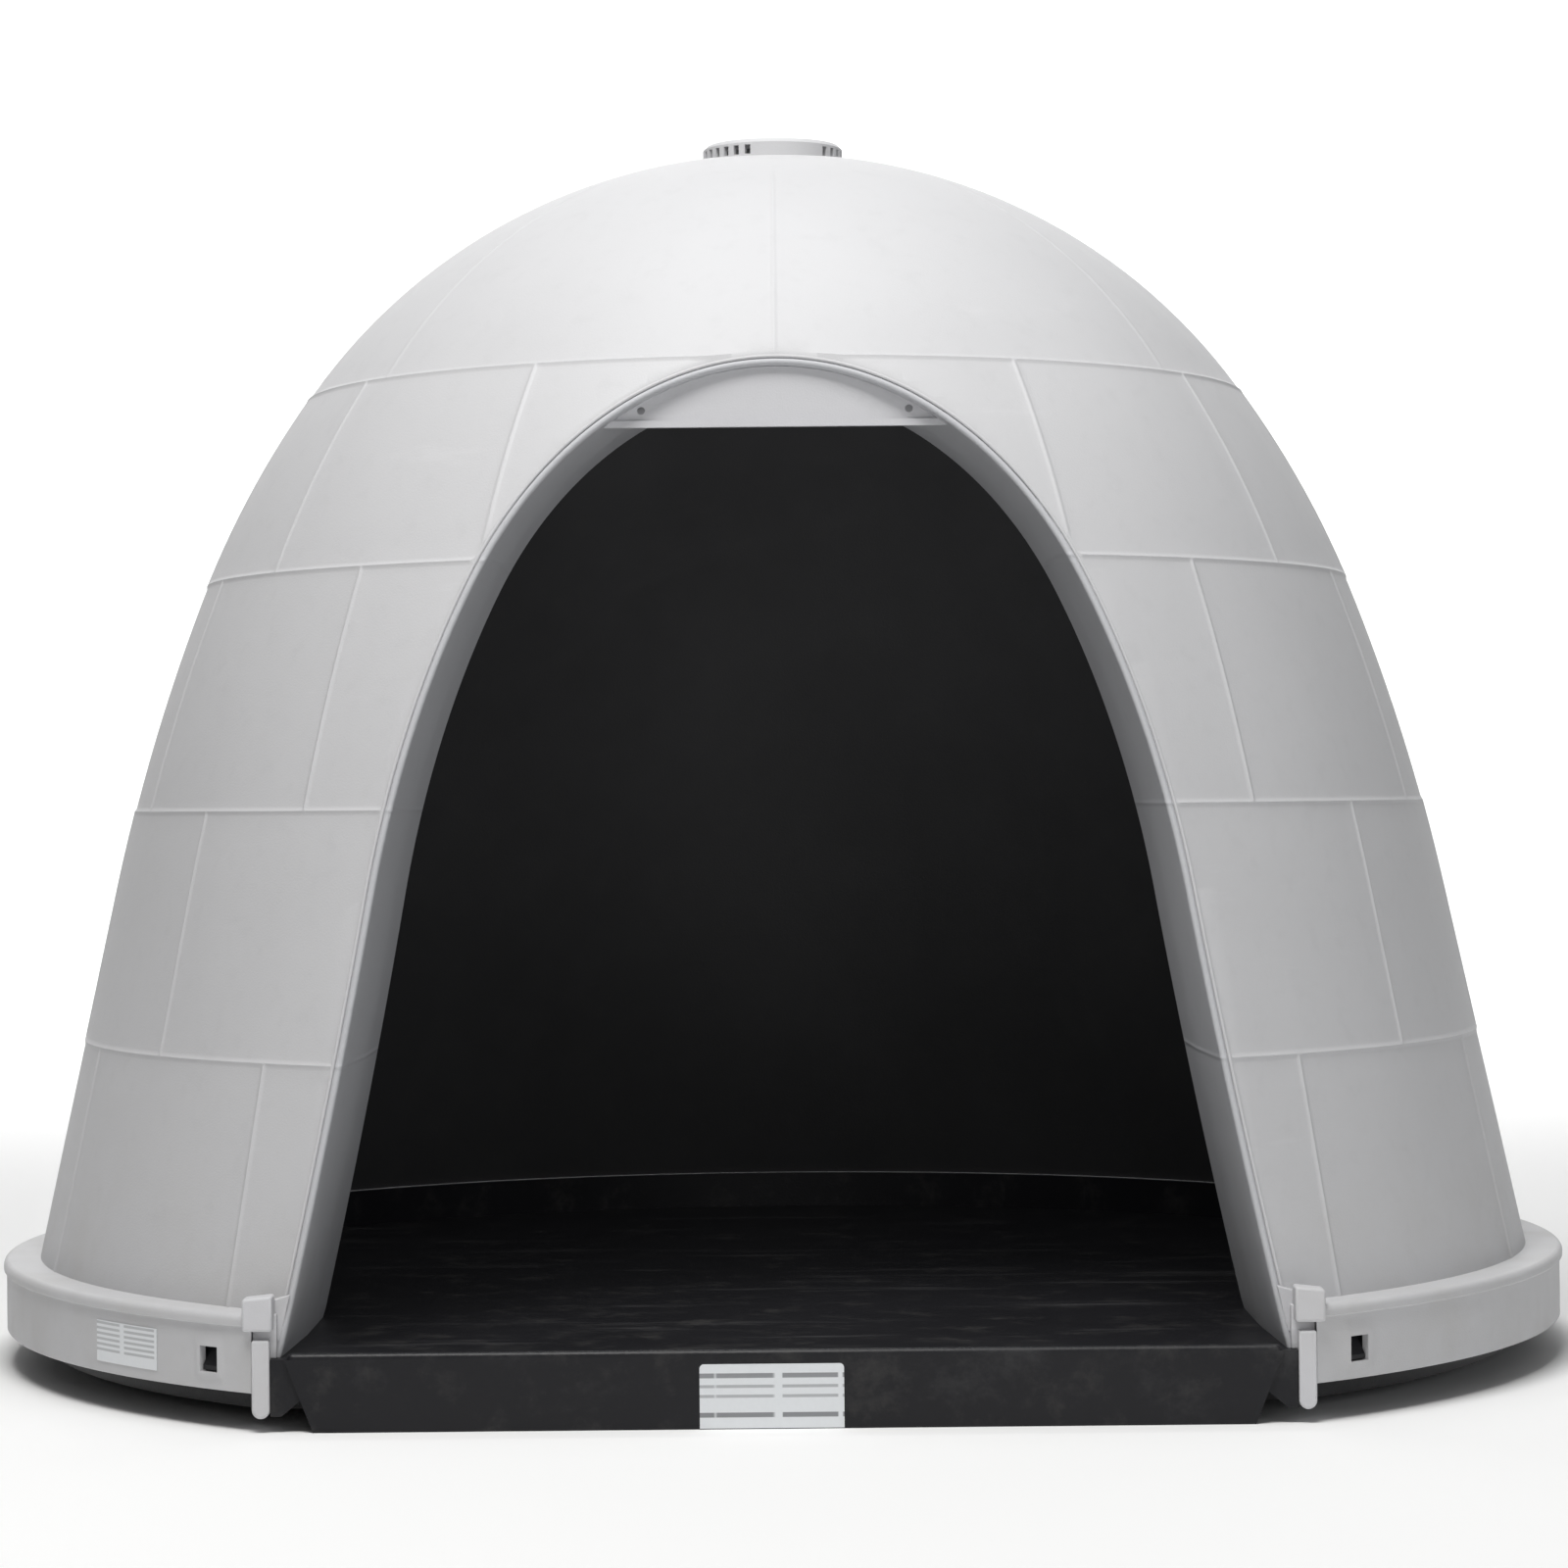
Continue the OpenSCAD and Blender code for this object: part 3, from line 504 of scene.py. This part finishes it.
# ---- Pieces ----
class HUTCH_OT_dome(Operator):
    """The dome with its raised block lines, cut by the door's face"""

    bl_idname = "hutch.dome"
    bl_label = "Dome"

    BESIDE = np.array([-0.0032, -0.0019, -0.0009, 0, 0.0009, 0.0019, 0.0032])  # rows across a ridge
    COURSE_BLOCKS = np.array([7, 13, 13, 13, 13])  # blocks round each course, from the crown down
    COURSE_SHIFT = np.array([0, 0, 0.5, 0, 0.5])  # how far each course is turned, in blocks
    JOINT_DIRECTIONS = ((26, 0.41), (7, 0.22))  # how many round the dome, and a radius where they run
    # Upright joints begin below a height, over a fade, and are lower in the crown course
    JOINT_TOP_Z, JOINT_FADE, CROWN_SHARE = 0.745, 0.01, 0.6
    # The mesh's even steps, and how far they keep from a ridge: rows in metres, directions in degrees
    PLAIN_ROWS, ROW_CLEAR = 76, 0.0025
    PLAIN_STEP, JOINT_CLEAR, SAME_TURN = 2.4, 0.35, 0.02
    VENT_HOLE_R = 0.0386
    # A face is inside if it lies this share of the skin deep and faces a point at this height
    INNER_SHARE, MIDDLE_Z = 0.6, 0.2

    def azimuths(self):
        """Directions round the dome: even steps, with extra ones beside every upright joint."""
        plain = np.arange(0, 360, self.PLAIN_STEP)
        joints = np.concatenate([
            ((np.arange(count) * 360 / count)[:, None] + np.degrees(self.BESIDE / radius)).ravel()
            for count, radius in self.JOINT_DIRECTIONS])
        near = np.min(np.abs((plain[:, None] - joints[None, :] + 180) % 360 - 180), axis=1)
        turns = np.sort(np.concatenate([plain[near > self.JOINT_CLEAR], joints]) % 360)
        kept = np.concatenate([[True], np.diff(turns) > self.SAME_TURN])
        return np.radians(turns[kept])

    def ridges(self, curve, run, radius, azimuth, height, half_width):
        """How far the surface stands out: a bell across each ring line, and across each upright joint
        of the course that a point is in."""
        lines = np.array([curve.run_at(z) for z in COURSES_Z])
        out = sum(np.exp(-((run - line) / half_width) ** 2) for line in lines)
        course = np.searchsorted(lines, run)
        block = 2 * math.pi / self.COURSE_BLOCKS[course]
        away = (azimuth - self.COURSE_SHIFT[course] * block + block / 2) % block - block / 2
        upright = np.exp(-((away * radius) / half_width) ** 2)
        begun = np.clip((run - curve.run_at(self.JOINT_TOP_Z)) / self.JOINT_FADE, 0, 1)
        upright = upright * begun * np.where(course == 0, self.CROWN_SHARE, 1)
        return height * np.maximum(np.clip(out, 0, 1), upright)

    def execute(self, context):
        curve, sizes = outline(), context.scene.hutch_dome
        lines = np.concatenate([curve.run_at(z) + self.BESIDE for z in COURSES_Z])
        plain = np.linspace(0, curve.run[-1], self.PLAIN_ROWS)
        plain = plain[np.min(np.abs(plain[:, None] - lines[None, :]), axis=1) > self.ROW_CLEAR]
        run = np.sort(np.concatenate([plain, lines]))
        radius, height, tilt = curve.at(run)
        azimuth = self.azimuths()
        stand = self.ridges(curve, run[:, None], radius[:, None], azimuth[None, :],
                            sizes.ridge_h, sizes.ridge_w)
        outer_r = radius[:, None] + stand * np.cos(tilt)[:, None]
        outer_z = height[:, None] + stand * np.sin(tilt)[:, None]
        inner_r = (radius - sizes.skin * np.cos(tilt))[::-1, None] + 0 * azimuth
        inner_z = np.maximum(height - sizes.skin * np.sin(tilt), sizes.ledge_z)
        inner_z = inner_z[::-1, None] + 0 * azimuth
        # The side of the vent's hole, which closes the shell at the top
        hole_r = np.full((2, 1), self.VENT_HOLE_R) + 0 * azimuth
        hole_z = np.array([[curve.flat_z - sizes.skin], [curve.flat_z]]) + 0 * azimuth
        r = np.concatenate([hole_r, outer_r, inner_r])
        z = np.concatenate([hole_z, outer_z, inner_z])
        points = np.stack([r * np.sin(azimuth), -r * np.cos(azimuth), z], 2)
        faces = grid_faces(r.shape[0], len(azimuth), True, True)
        finishes = make_finishes()
        # The second finish is the painted shade of the dome's inside.
        piece = new_piece("dome", points, faces, [finishes["dome"], finishes["inside"]])
        self.cut_door(piece.data, curve)
        self.paint_inside_shade(piece.data, curve, sizes)
        sharpen(piece, 40)
        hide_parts("dome_shell")
        return {"FINISHED"}

    def cut_door(self, mesh, curve):
        """Cuts away what is in front of the door's face. The mesh is sheared so that the bowed face
        is flat, cut, capped, and sheared back."""
        shape = bmesh.new()
        shape.from_mesh(mesh)
        for vert in shape.verts:
            vert.co.y -= float(curve.face_y(vert.co.z))
        everything = shape.verts[:] + shape.edges[:] + shape.faces[:]
        cut = bmesh.ops.bisect_plane(shape, geom=everything, plane_co=(0, 0, 0), plane_no=(0, -1, 0),
                                     clear_outer=True, dist=1e-7)
        rim = [e for e in shape.edges if e.is_boundary]
        if not rim or not cut["geom_cut"]:
            raise RuntimeError("the door's face misses the dome")
        bmesh.ops.triangle_fill(shape, edges=rim, use_beauty=True, use_dissolve=False)
        for vert in shape.verts:
            vert.co.y += float(curve.face_y(vert.co.z))
        bmesh.ops.recalc_face_normals(shape, faces=shape.faces)
        shape.to_mesh(mesh)
        shape.free()

    def paint_inside_shade(self, mesh, curve, sizes):
        """Gives the near-black finish, painted shade for the dome's hollow, to the faces that lie on the
        dome's inner side.
        """
        centres = np.empty(len(mesh.polygons) * 3)
        mesh.polygons.foreach_get("center", centres)
        x, y, z = centres.reshape(-1, 3).T
        depth = self.INNER_SHARE * sizes.skin
        inner = np.hypot(x, y) < curve.radius(z) - depth
        inner |= (np.hypot(x, y) < curve.FLAT_R) & (z < curve.flat_z - depth)
        normals = np.empty(len(mesh.polygons) * 3)
        mesh.polygons.foreach_get("normal", normals)
        nx, ny, nz = normals.reshape(-1, 3).T
        inner &= nx * x + ny * y + nz * (z - self.MIDDLE_Z) < 0
        mesh.polygons.foreach_set("material_index", inner.astype(np.int32))
        mesh.polygons.foreach_set("use_smooth", np.ones(len(mesh.polygons), bool))


class HUTCH_OT_rim(Operator):
    """The ledge, lip and skirt round the dome's foot, with a window for each snap tab"""

    bl_idname = "hutch.rim"
    bl_label = "Rim"

    LIP_R, LIP_H, LIP_STEP, WALL = 0.004, 0.007, 0.0018, 0.004
    EASE, UNDER_LIP = 0.0008, 0.001  # the small slopes at the profile's corners and under the lip
    LEDGE_IN, LEDGE_OUT = 0.004, 0.001  # how far the ledge runs on under the dome and past its foot
    WINDOW_TURNS = (40.6, 139.4, 220.6, 319.4)
    WINDOW_HALF, WINDOW_Z = 0.00725, 0.039
    PAD, PAD_SLOPE, PAD_STAND = 0.0045, 0.0012, 0.0005  # the raised border round each window
    FIN_CLEAR, END_REACH = 0.0003, math.radians(2.0)
    PLAIN_STEP, MARK_CLEAR, SAME_TURN = 1.2, 0.3, 0.01  # degrees

    def execute(self, context):
        curve, sizes = outline(), context.scene.hutch_dome
        skirt_r = sizes.rim_r - self.LIP_STEP
        foot_r = sizes.rim_r - sizes.ledge_w
        low, high = self.WINDOW_Z - self.WINDOW_HALF, self.WINDOW_Z + self.WINDOW_HALF
        bend = np.radians(np.linspace(90, 0, 9))
        lip = np.stack([sizes.rim_r - self.LIP_R + self.LIP_R * np.cos(bend),
                        sizes.ledge_z - self.LIP_R + self.LIP_R * np.sin(bend)], 1)
        ledge = [[foot_r - self.LEDGE_IN, sizes.ledge_z], [foot_r + self.LEDGE_OUT, sizes.ledge_z]]
        step_z = sizes.ledge_z - self.LIP_H
        outer_z = [step_z, step_z - self.UNDER_LIP, high + self.PAD, high + self.PAD - self.PAD_SLOPE,
                   high, low, low - self.PAD + self.PAD_SLOPE, low - self.PAD, sizes.skirt_z + self.EASE]
        under_lip = [[sizes.rim_r, step_z + self.EASE], [sizes.rim_r - self.EASE, step_z]]
        skirt = [[skirt_r, z] for z in outer_z] + [[skirt_r - self.EASE, sizes.skirt_z]]
        inner_z = [sizes.skirt_z, low, high, sizes.ledge_z - self.WALL]
        inner = [[skirt_r - self.WALL, z] for z in inner_z]
        inner.append([foot_r - self.LEDGE_IN, sizes.ledge_z - self.WALL])
        profile = np.array([*ledge, *lip, *under_lip, *skirt, *inner])
        start = len(ledge) + len(lip) + len(under_lip)
        outer_row, inner_row = start + outer_z.index(high), start + len(skirt) + inner_z.index(low)

        # Columns run from one fin round the back to the other, with some at each window's sides.
        cut_x = curve.fin_x() + curve.FIN_W + self.FIN_CLEAR
        first = math.degrees(math.asin(cut_x / skirt_r))
        half = math.degrees(self.WINDOW_HALF / skirt_r)
        pad = math.degrees((self.WINDOW_HALF + self.PAD) / skirt_r)
        slope = math.degrees(self.PAD_SLOPE / skirt_r)
        marks = np.array([t + s * w for t in self.WINDOW_TURNS for s in (-1, 1)
                          for w in (half, pad - slope, pad)])
        plain = np.arange(first, 360 - first + self.SAME_TURN, self.PLAIN_STEP)
        plain = plain[np.min(np.abs(plain[:, None] - marks[None, :]), axis=1) > self.MARK_CLEAR]
        turns = np.sort(np.concatenate([plain, marks, [360 - first]]))
        turns = turns[np.concatenate([[True], np.diff(turns) > self.SAME_TURN])]
        azimuth = np.radians(turns)[None, :] + 0 * profile[:, :1]
        # The two ends are flat: each radius starts where it meets the plane beside the fin.
        meets = np.arcsin(cut_x / profile[:, 0])[:, None]
        begins = np.clip(1 - (azimuth - math.radians(first)) / self.END_REACH, 0, 1)
        ends = np.clip(1 - (math.radians(360 - first) - azimuth) / self.END_REACH, 0, 1)
        azimuth = azimuth + (meets - math.radians(first)) * (begins - ends)

        radius = profile[:, :1] + 0 * azimuth
        z = profile[:, 1:] + 0 * azimuth
        on_pad = np.zeros_like(radius)
        for t in self.WINDOW_TURNS:
            near_turn = np.abs(turns - t) < pad - slope / 2
            on_pad[outer_row - 1:outer_row + 3, near_turn] = self.PAD_STAND
        radius = radius + on_pad
        points = np.stack([radius * np.sin(azimuth), -radius * np.cos(azimuth), z], 2)
        rows, columns = radius.shape
        faces = [list(f) for f in grid_faces(rows, columns, True, False)]
        faces += [[i * columns + c for i in range(rows)] for c in (0, columns - 1)]

        # Open each window through both skins and join the two openings with four sides.
        gone, sides = set(), []
        for t in self.WINDOW_TURNS:
            left = int(np.argmin(np.abs(turns - (t - half))))
            right = int(np.argmin(np.abs(turns - (t + half))))
            for c in range(left, right):
                gone |= {(outer_row, c), (inner_row, c)}
                sides += [[outer_row * columns + c, outer_row * columns + c + 1,
                           (inner_row + 1) * columns + c + 1, (inner_row + 1) * columns + c],
                          [(outer_row + 1) * columns + c, (outer_row + 1) * columns + c + 1,
                           inner_row * columns + c + 1, inner_row * columns + c]]
            for c in (left, right):
                sides.append([outer_row * columns + c, (outer_row + 1) * columns + c,
                              inner_row * columns + c, (inner_row + 1) * columns + c])
        quads = grid_faces(rows, columns, True, False)
        per_row = columns - 1
        kept = [f for k, f in enumerate(faces)
                if k >= len(quads) or (k // per_row, k % per_row) not in gone]
        piece = new_piece("dome_rim", points, kept + sides, make_finishes()["dome"])
        sharpen(piece, 35)
        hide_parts("dome_shell")
        return {"FINISHED"}


def door_sweep(name, curve, profile_at, steps, material):
    """A closed outline carried over the arch. At each point of the arch the outline gives how far out
    from the opening it lies and how far back; both ends are capped."""
    arch, outward = curve.arch(steps)
    inset = curve.edge_at(arch[:, 1])
    out, y = profile_at(arch[:, 1])
    reach = out - inset[:, None]
    x = arch[:, :1] + outward[:, :1] * reach
    z = arch[:, 1:] + outward[:, 1:] * reach
    middle = len(arch) // 2
    x[middle] = 0
    z[[0, -1]] = curve.door.floor_z
    points = np.stack([x, y, z], 2)
    rows, columns = x.shape
    faces = [list(f) for f in grid_faces(rows, columns, False, True)]
    faces += [list(range(columns)), list(range((rows - 1) * columns, rows * columns))]
    piece = new_piece(name, points, faces, material)
    sharpen(piece, 38)
    return piece


class HUTCH_OT_doorway(Operator):
    """The deep doorway frame, with a rounded front bead and a crease along its depth, and the dome's
    edge bead beside it"""

    bl_idname = "hutch.doorway"
    bl_label = "Doorway"

    # The reveal from back to front: the share of its depth, and the share of the splay taken in
    DEPTH_SHARES = np.array([1, 0.60, 0.54, 0.50, 0.44, 0.06])
    SPLAY_SHARES = np.array([1, 1, 1, 0.94, 0.80, 0.12])
    EDGE_BEAD_R, EDGE_BEAD_OUT, EDGE_BEAD_DEPTH = 0.0011, 0.0013, 0.003

    def execute(self, context):
        curve, door = outline(), context.scene.hutch_door
        dome = context.scene.hutch_dome
        slope = ((curve.top_y + door.depth_top) - (curve.foot_y + door.depth_foot)) \
            / (door.top_z - dome.ledge_z)

        def frame_profile(z):
            """Inner skin from the back to a crease, splayed from there to the front, then a half-round
            bead and the outer skin back."""
            back = curve.foot_y + door.depth_foot + (z - dome.ledge_z) * slope
            front = curve.face_y(z)
            turn = np.radians(np.linspace(180, 0, 9))
            bead_r = door.wall / 2
            across = -door.splay * self.SPLAY_SHARES
            bead_out = bead_r + bead_r * np.cos(turn)
            out = np.concatenate([across, bead_out, [door.wall]])[None, :] + 0 * z[:, None]
            y = np.concatenate([
                front[:, None] + (back - front)[:, None] * self.DEPTH_SHARES,
                front[:, None] - door.bead * np.sin(turn) + 0 * z[:, None],
                back[:, None]], 1)
            return out, y

        piece = door_sweep("doorway_frame", curve, frame_profile, door.steps, make_finishes()["frame"])
        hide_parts("doorway_frame")

        def edge_profile(z):
            """Half-round bead along the dome's own edge, beside the frame's bead."""
            turn = np.radians(np.linspace(180, 0, 7))
            r = self.EDGE_BEAD_R
            middle = door.wall + self.EDGE_BEAD_OUT
            out = np.concatenate([middle + r * np.cos(turn), [middle + r, middle - r]])
            y = np.concatenate([-r * np.sin(turn), [self.EDGE_BEAD_DEPTH, self.EDGE_BEAD_DEPTH]])
            return out[None, :] + 0 * z[:, None], curve.face_y(z)[:, None] + y

        door_sweep("door_edge_bead", curve, edge_profile, door.steps, make_finishes()["dome"])
        return {"FINISHED"}


class HUTCH_OT_corners(Operator):
    """The cheek, fin, web and hook block at each front corner"""

    bl_idname = "hutch.corners"
    bl_label = "Corners"

    FRONT_SET = 0.0015  # how far the fins' fronts stand behind the frame's foremost point
    FIN_LOW, FIN_TOP, FIN_BACK = 0.008, 0.052, 0.005
    WEB_IN, WEB_TOP_GAP = 0.002, 0.0003
    HOOK_W, HOOK_LOW, HOOK_TOP, HOOK_OUT, HOOK_FALL = 0.017, 0.057, 0.077, 0.005, 0.0018
    CHEEK_LOW, CHEEK_TOP, CHEEK_IN, CHEEK_LAP = 0.050, 0.076, 0.0028, 0.004

    def outlines(self, curve, door, dome):
        """Outline in X and Z of each part of the right corner."""
        inner, outer = curve.fin_x(), curve.fin_x() + curve.FIN_W
        r = curve.FIN_W / 2
        bend = np.radians(np.linspace(180, 360, 15))
        fin = [[inner + r + r * math.cos(a), self.FIN_LOW + r + r * math.sin(a)] for a in bend]
        fin += [[outer, self.FIN_TOP], [inner, self.FIN_TOP]]
        web_x, web_top = curve.foot_x() + self.WEB_IN, dome.ledge_z - self.WEB_TOP_GAP
        web = [[web_x, door.floor_z], [outer, door.floor_z], [outer, web_top], [web_x, web_top]]
        hook_x = outer + self.HOOK_OUT - self.HOOK_W
        hook = [[hook_x, self.HOOK_LOW], [hook_x + self.HOOK_W, self.HOOK_LOW],
                [hook_x + self.HOOK_W, self.HOOK_TOP - self.HOOK_FALL], [hook_x, self.HOOK_TOP]]
        z = np.linspace(self.CHEEK_LOW, self.CHEEK_TOP, 5)
        x = np.sqrt(curve.radius(z) ** 2 - curve.face_y(z) ** 2) - curve.edge_at(z) + self.CHEEK_IN
        lap_x = hook_x + self.CHEEK_LAP
        cheek = np.stack([x, z], 1).tolist()
        cheek += [[lap_x, self.CHEEK_TOP - self.CHEEK_LAP], [lap_x, self.CHEEK_LOW]]
        return {"cheek": cheek, "fin": fin, "web": web, "hook": hook}

    def execute(self, context):
        curve, door, dome = outline(), context.scene.hutch_door, context.scene.hutch_dome
        shapes = self.outlines(curve, door, dome)
        foot_r, outer = dome.rim_r - dome.ledge_w, curve.fin_x() + curve.FIN_W
        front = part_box("doorway_frame")[0].y + self.FRONT_SET
        back = -math.sqrt(foot_r ** 2 - outer ** 2) + self.FIN_BACK
        cheek_y = curve.face_y(self.CHEEK_LOW)
        finish = make_finishes()["trim"]
        # Where each part begins and ends from front to back, and how round its edges are
        spans = {"cheek": (cheek_y - 0.0012, cheek_y + 0.012, 0.0006),
                 "fin": (front, back, 0.0012),
                 "web": (front + 0.008, back, 0.0006),
                 "hook": (front - 0.0015, front + 0.0145, 0.0016)}
        for side, name in ((-1, "left"), (1, "right")):
            for part, (low_y, high_y, rounding) in spans.items():
                shape = np.array(shapes[part]) * [side, 1]
                prism(f"corner_{part}_{name}", shape, low_y, high_y, finish, rounding)
        return {"FINISHED"}


class HUTCH_OT_frame_finishes(Operator):
    """Procedural finishes for the solids that show as they are"""

    bl_idname = "hutch.frame_finishes"
    bl_label = "Finishes on the solids"

    # The vent clip takes the inside finish, whose near-black is painted shade.
    KINDS = {"door_header": "trim", "floor_tray": "tray", "vent_neck": "dome", "vent_cap": "dome",
             "vent_clip": "inside", "skirt_label": "skirt_paper", "tray_label": "tray_paper",
             "snap_tab_front_left": "tab", "snap_tab_front_right": "tab",
             "snap_tab_rear_left": "tab", "snap_tab_rear_right": "tab"}

    def execute(self, context):
        finishes = make_finishes()
        for node, kind in self.KINDS.items():
            slots = frame["nodes"][node].material_slots
            if not slots:
                raise RuntimeError(f"{node} has no material slot")
            for entry in slots:
                entry.material = finishes[kind]
        return {"FINISHED"}


class HUTCH_OT_stage(Operator):
    """Pale floor and backdrop, soft lights and the camera"""

    bl_idname = "hutch.stage"
    bl_label = "Stage"

    NEUTRAL, WARM, COOL = (1, 1, 1), (1.0, 0.992, 0.975), (0.95, 0.975, 1.0)
    # Name, place, aim, width, height, watts, tint
    LIGHTS = (("key", (-0.28, -1.2, 2.4), (0, -0.12, 0.6), 1.2, 0.8, 51, WARM),
              ("overhead", (0, -0.2, 2.6), (0, 0, 0.6), 1.4, 1.2, 12, COOL),
              ("right", (2.0, -2.6, 0.7), (0.2, 0, 0.35), 1.0, 1.0, 8, COOL),
              ("front", (0.3, -3.6, 0.9), (0, 0, 0.4), 1.2, 0.8, 5, NEUTRAL),
              ("inside", (0, 0, 0.66), (0, 0.2, 0.1), 0.3, 0.1, 0.9, NEUTRAL),
              ("backdrop", (0, 2.6, 3.4), (0, 5.2, 1.6), 6.0, 2.0, 230, NEUTRAL))
    FLOOR_FRONT, FLOOR_HALF_W, BEND_Y, BEND_R, WALL_TOP = -9.0, 9.0, 4.0, 1.5, 7.0
    WORLD_STRENGTH = 0.14
    CAMERA_PLACE, CAMERA_ROLL = (0, -2.79042, 0.35507), 0.00964505
    CAMERA_LENS, CAMERA_SHIFT = 97.903, (0.0034, 0.0067)

    def light(self, name, place, aim, width, height, watts, tint):
        """An area light that faces what it is aimed at."""
        lamp = bpy.data.lights.new(name, "AREA")
        lamp.shape = "RECTANGLE"
        lamp.size = width
        lamp.size_y = height
        lamp.energy = watts
        lamp.color = tint
        holder = bpy.data.objects.new(name, lamp)
        holder.location = place
        holder.rotation_euler = (Vector(aim) - Vector(place)).to_track_quat("-Z", "Y").to_euler()
        bpy.context.scene.collection.objects.link(holder)

    def execute(self, context):
        scene = context.scene
        # Floor running up into a backdrop in one curve
        bend = np.radians(np.linspace(-90, 0, 17))
        bend_y, bend_z = self.BEND_R * np.cos(bend), self.BEND_R * np.sin(bend)
        side_y = np.concatenate([[self.FLOOR_FRONT], self.BEND_Y + bend_y, [self.BEND_Y + self.BEND_R]])
        side_z = np.concatenate([[0.0], self.BEND_R + bend_z, [self.WALL_TOP]])
        x = np.array([-self.FLOOR_HALF_W, self.FLOOR_HALF_W])
        points = np.stack([x[None, :] + 0 * side_y[:, None], side_y[:, None] + 0 * x,
                           side_z[:, None] + 0 * x], 2)
        mesh = bpy.data.meshes.new("floor")
        mesh.from_pydata(points.reshape(-1, 3), [], grid_faces(len(side_y), 2, False, False).tolist())
        mesh.polygons.foreach_set("use_smooth", np.ones(len(mesh.polygons), bool))
        floor = bpy.data.objects.new("floor", mesh)
        scene.collection.objects.link(floor)
        pale = Finish("pale floor", (0.90, 0.90, 0.90), 0.8)
        mesh.materials.append(pale.material)

        world = bpy.data.worlds.new("studio")
        world.use_nodes = True
        background = world.node_tree.nodes["Background"]
        background.inputs["Color"].default_value = (1, 1, 1, 1)
        background.inputs["Strength"].default_value = self.WORLD_STRENGTH
        scene.world = world
        for settings in self.LIGHTS:
            self.light(*settings)

        camera = bpy.data.cameras.new("camera")
        camera.sensor_width = 36.0
        camera.lens = self.CAMERA_LENS
        camera.shift_x, camera.shift_y = self.CAMERA_SHIFT
        camera.clip_end = 60
        holder = bpy.data.objects.new("camera", camera)
        holder.location = self.CAMERA_PLACE
        holder.rotation_euler = (math.pi / 2, self.CAMERA_ROLL, 0)
        scene.collection.objects.link(holder)
        scene.camera = holder
        scene.view_settings.view_transform = "Standard"
        return {"FINISHED"}


class HUTCH_PT_panel(Panel):
    """Sizes, colours and the operators that build the hutch"""

    bl_idname = "HUTCH_PT_panel"
    bl_label = "Domed animal hutch"
    bl_space_type = "VIEW_3D"
    bl_region_type = "UI"
    bl_category = "Hutch"

    def draw(self, context):
        for group in (context.scene.hutch_dome, context.scene.hutch_door, context.scene.hutch_finishes):
            box = self.layout.box()
            for name in group.bl_rna.properties.keys():
                if name not in {"rna_type", "name"}:
                    box.prop(group, name)
        for operator in OPERATORS:
            self.layout.operator(operator.bl_idname)


OPERATORS = (HUTCH_OT_dome, HUTCH_OT_rim, HUTCH_OT_doorway, HUTCH_OT_corners,
             HUTCH_OT_frame_finishes, HUTCH_OT_stage)
CLASSES = (DomeSizes, DoorSizes, Finishes, *OPERATORS, HUTCH_PT_panel)


def register():
    for kind in CLASSES:
        bpy.utils.register_class(kind)
    bpy.types.Scene.hutch_dome = PointerProperty(type=DomeSizes)
    bpy.types.Scene.hutch_door = PointerProperty(type=DoorSizes)
    bpy.types.Scene.hutch_finishes = PointerProperty(type=Finishes)


def unregister():
    for name in ("hutch_dome", "hutch_door", "hutch_finishes"):
        delattr(bpy.types.Scene, name)
    for kind in reversed(CLASSES):
        bpy.utils.unregister_class(kind)


def main():
    """Builds everything."""
    register()
    for operator in OPERATORS:
        group, name = operator.bl_idname.split(".")
        if getattr(getattr(bpy.ops, group), name)() != {"FINISHED"}:
            raise RuntimeError(f"{operator.bl_label} didn't finish")


if __name__ == "__main__":
    main()
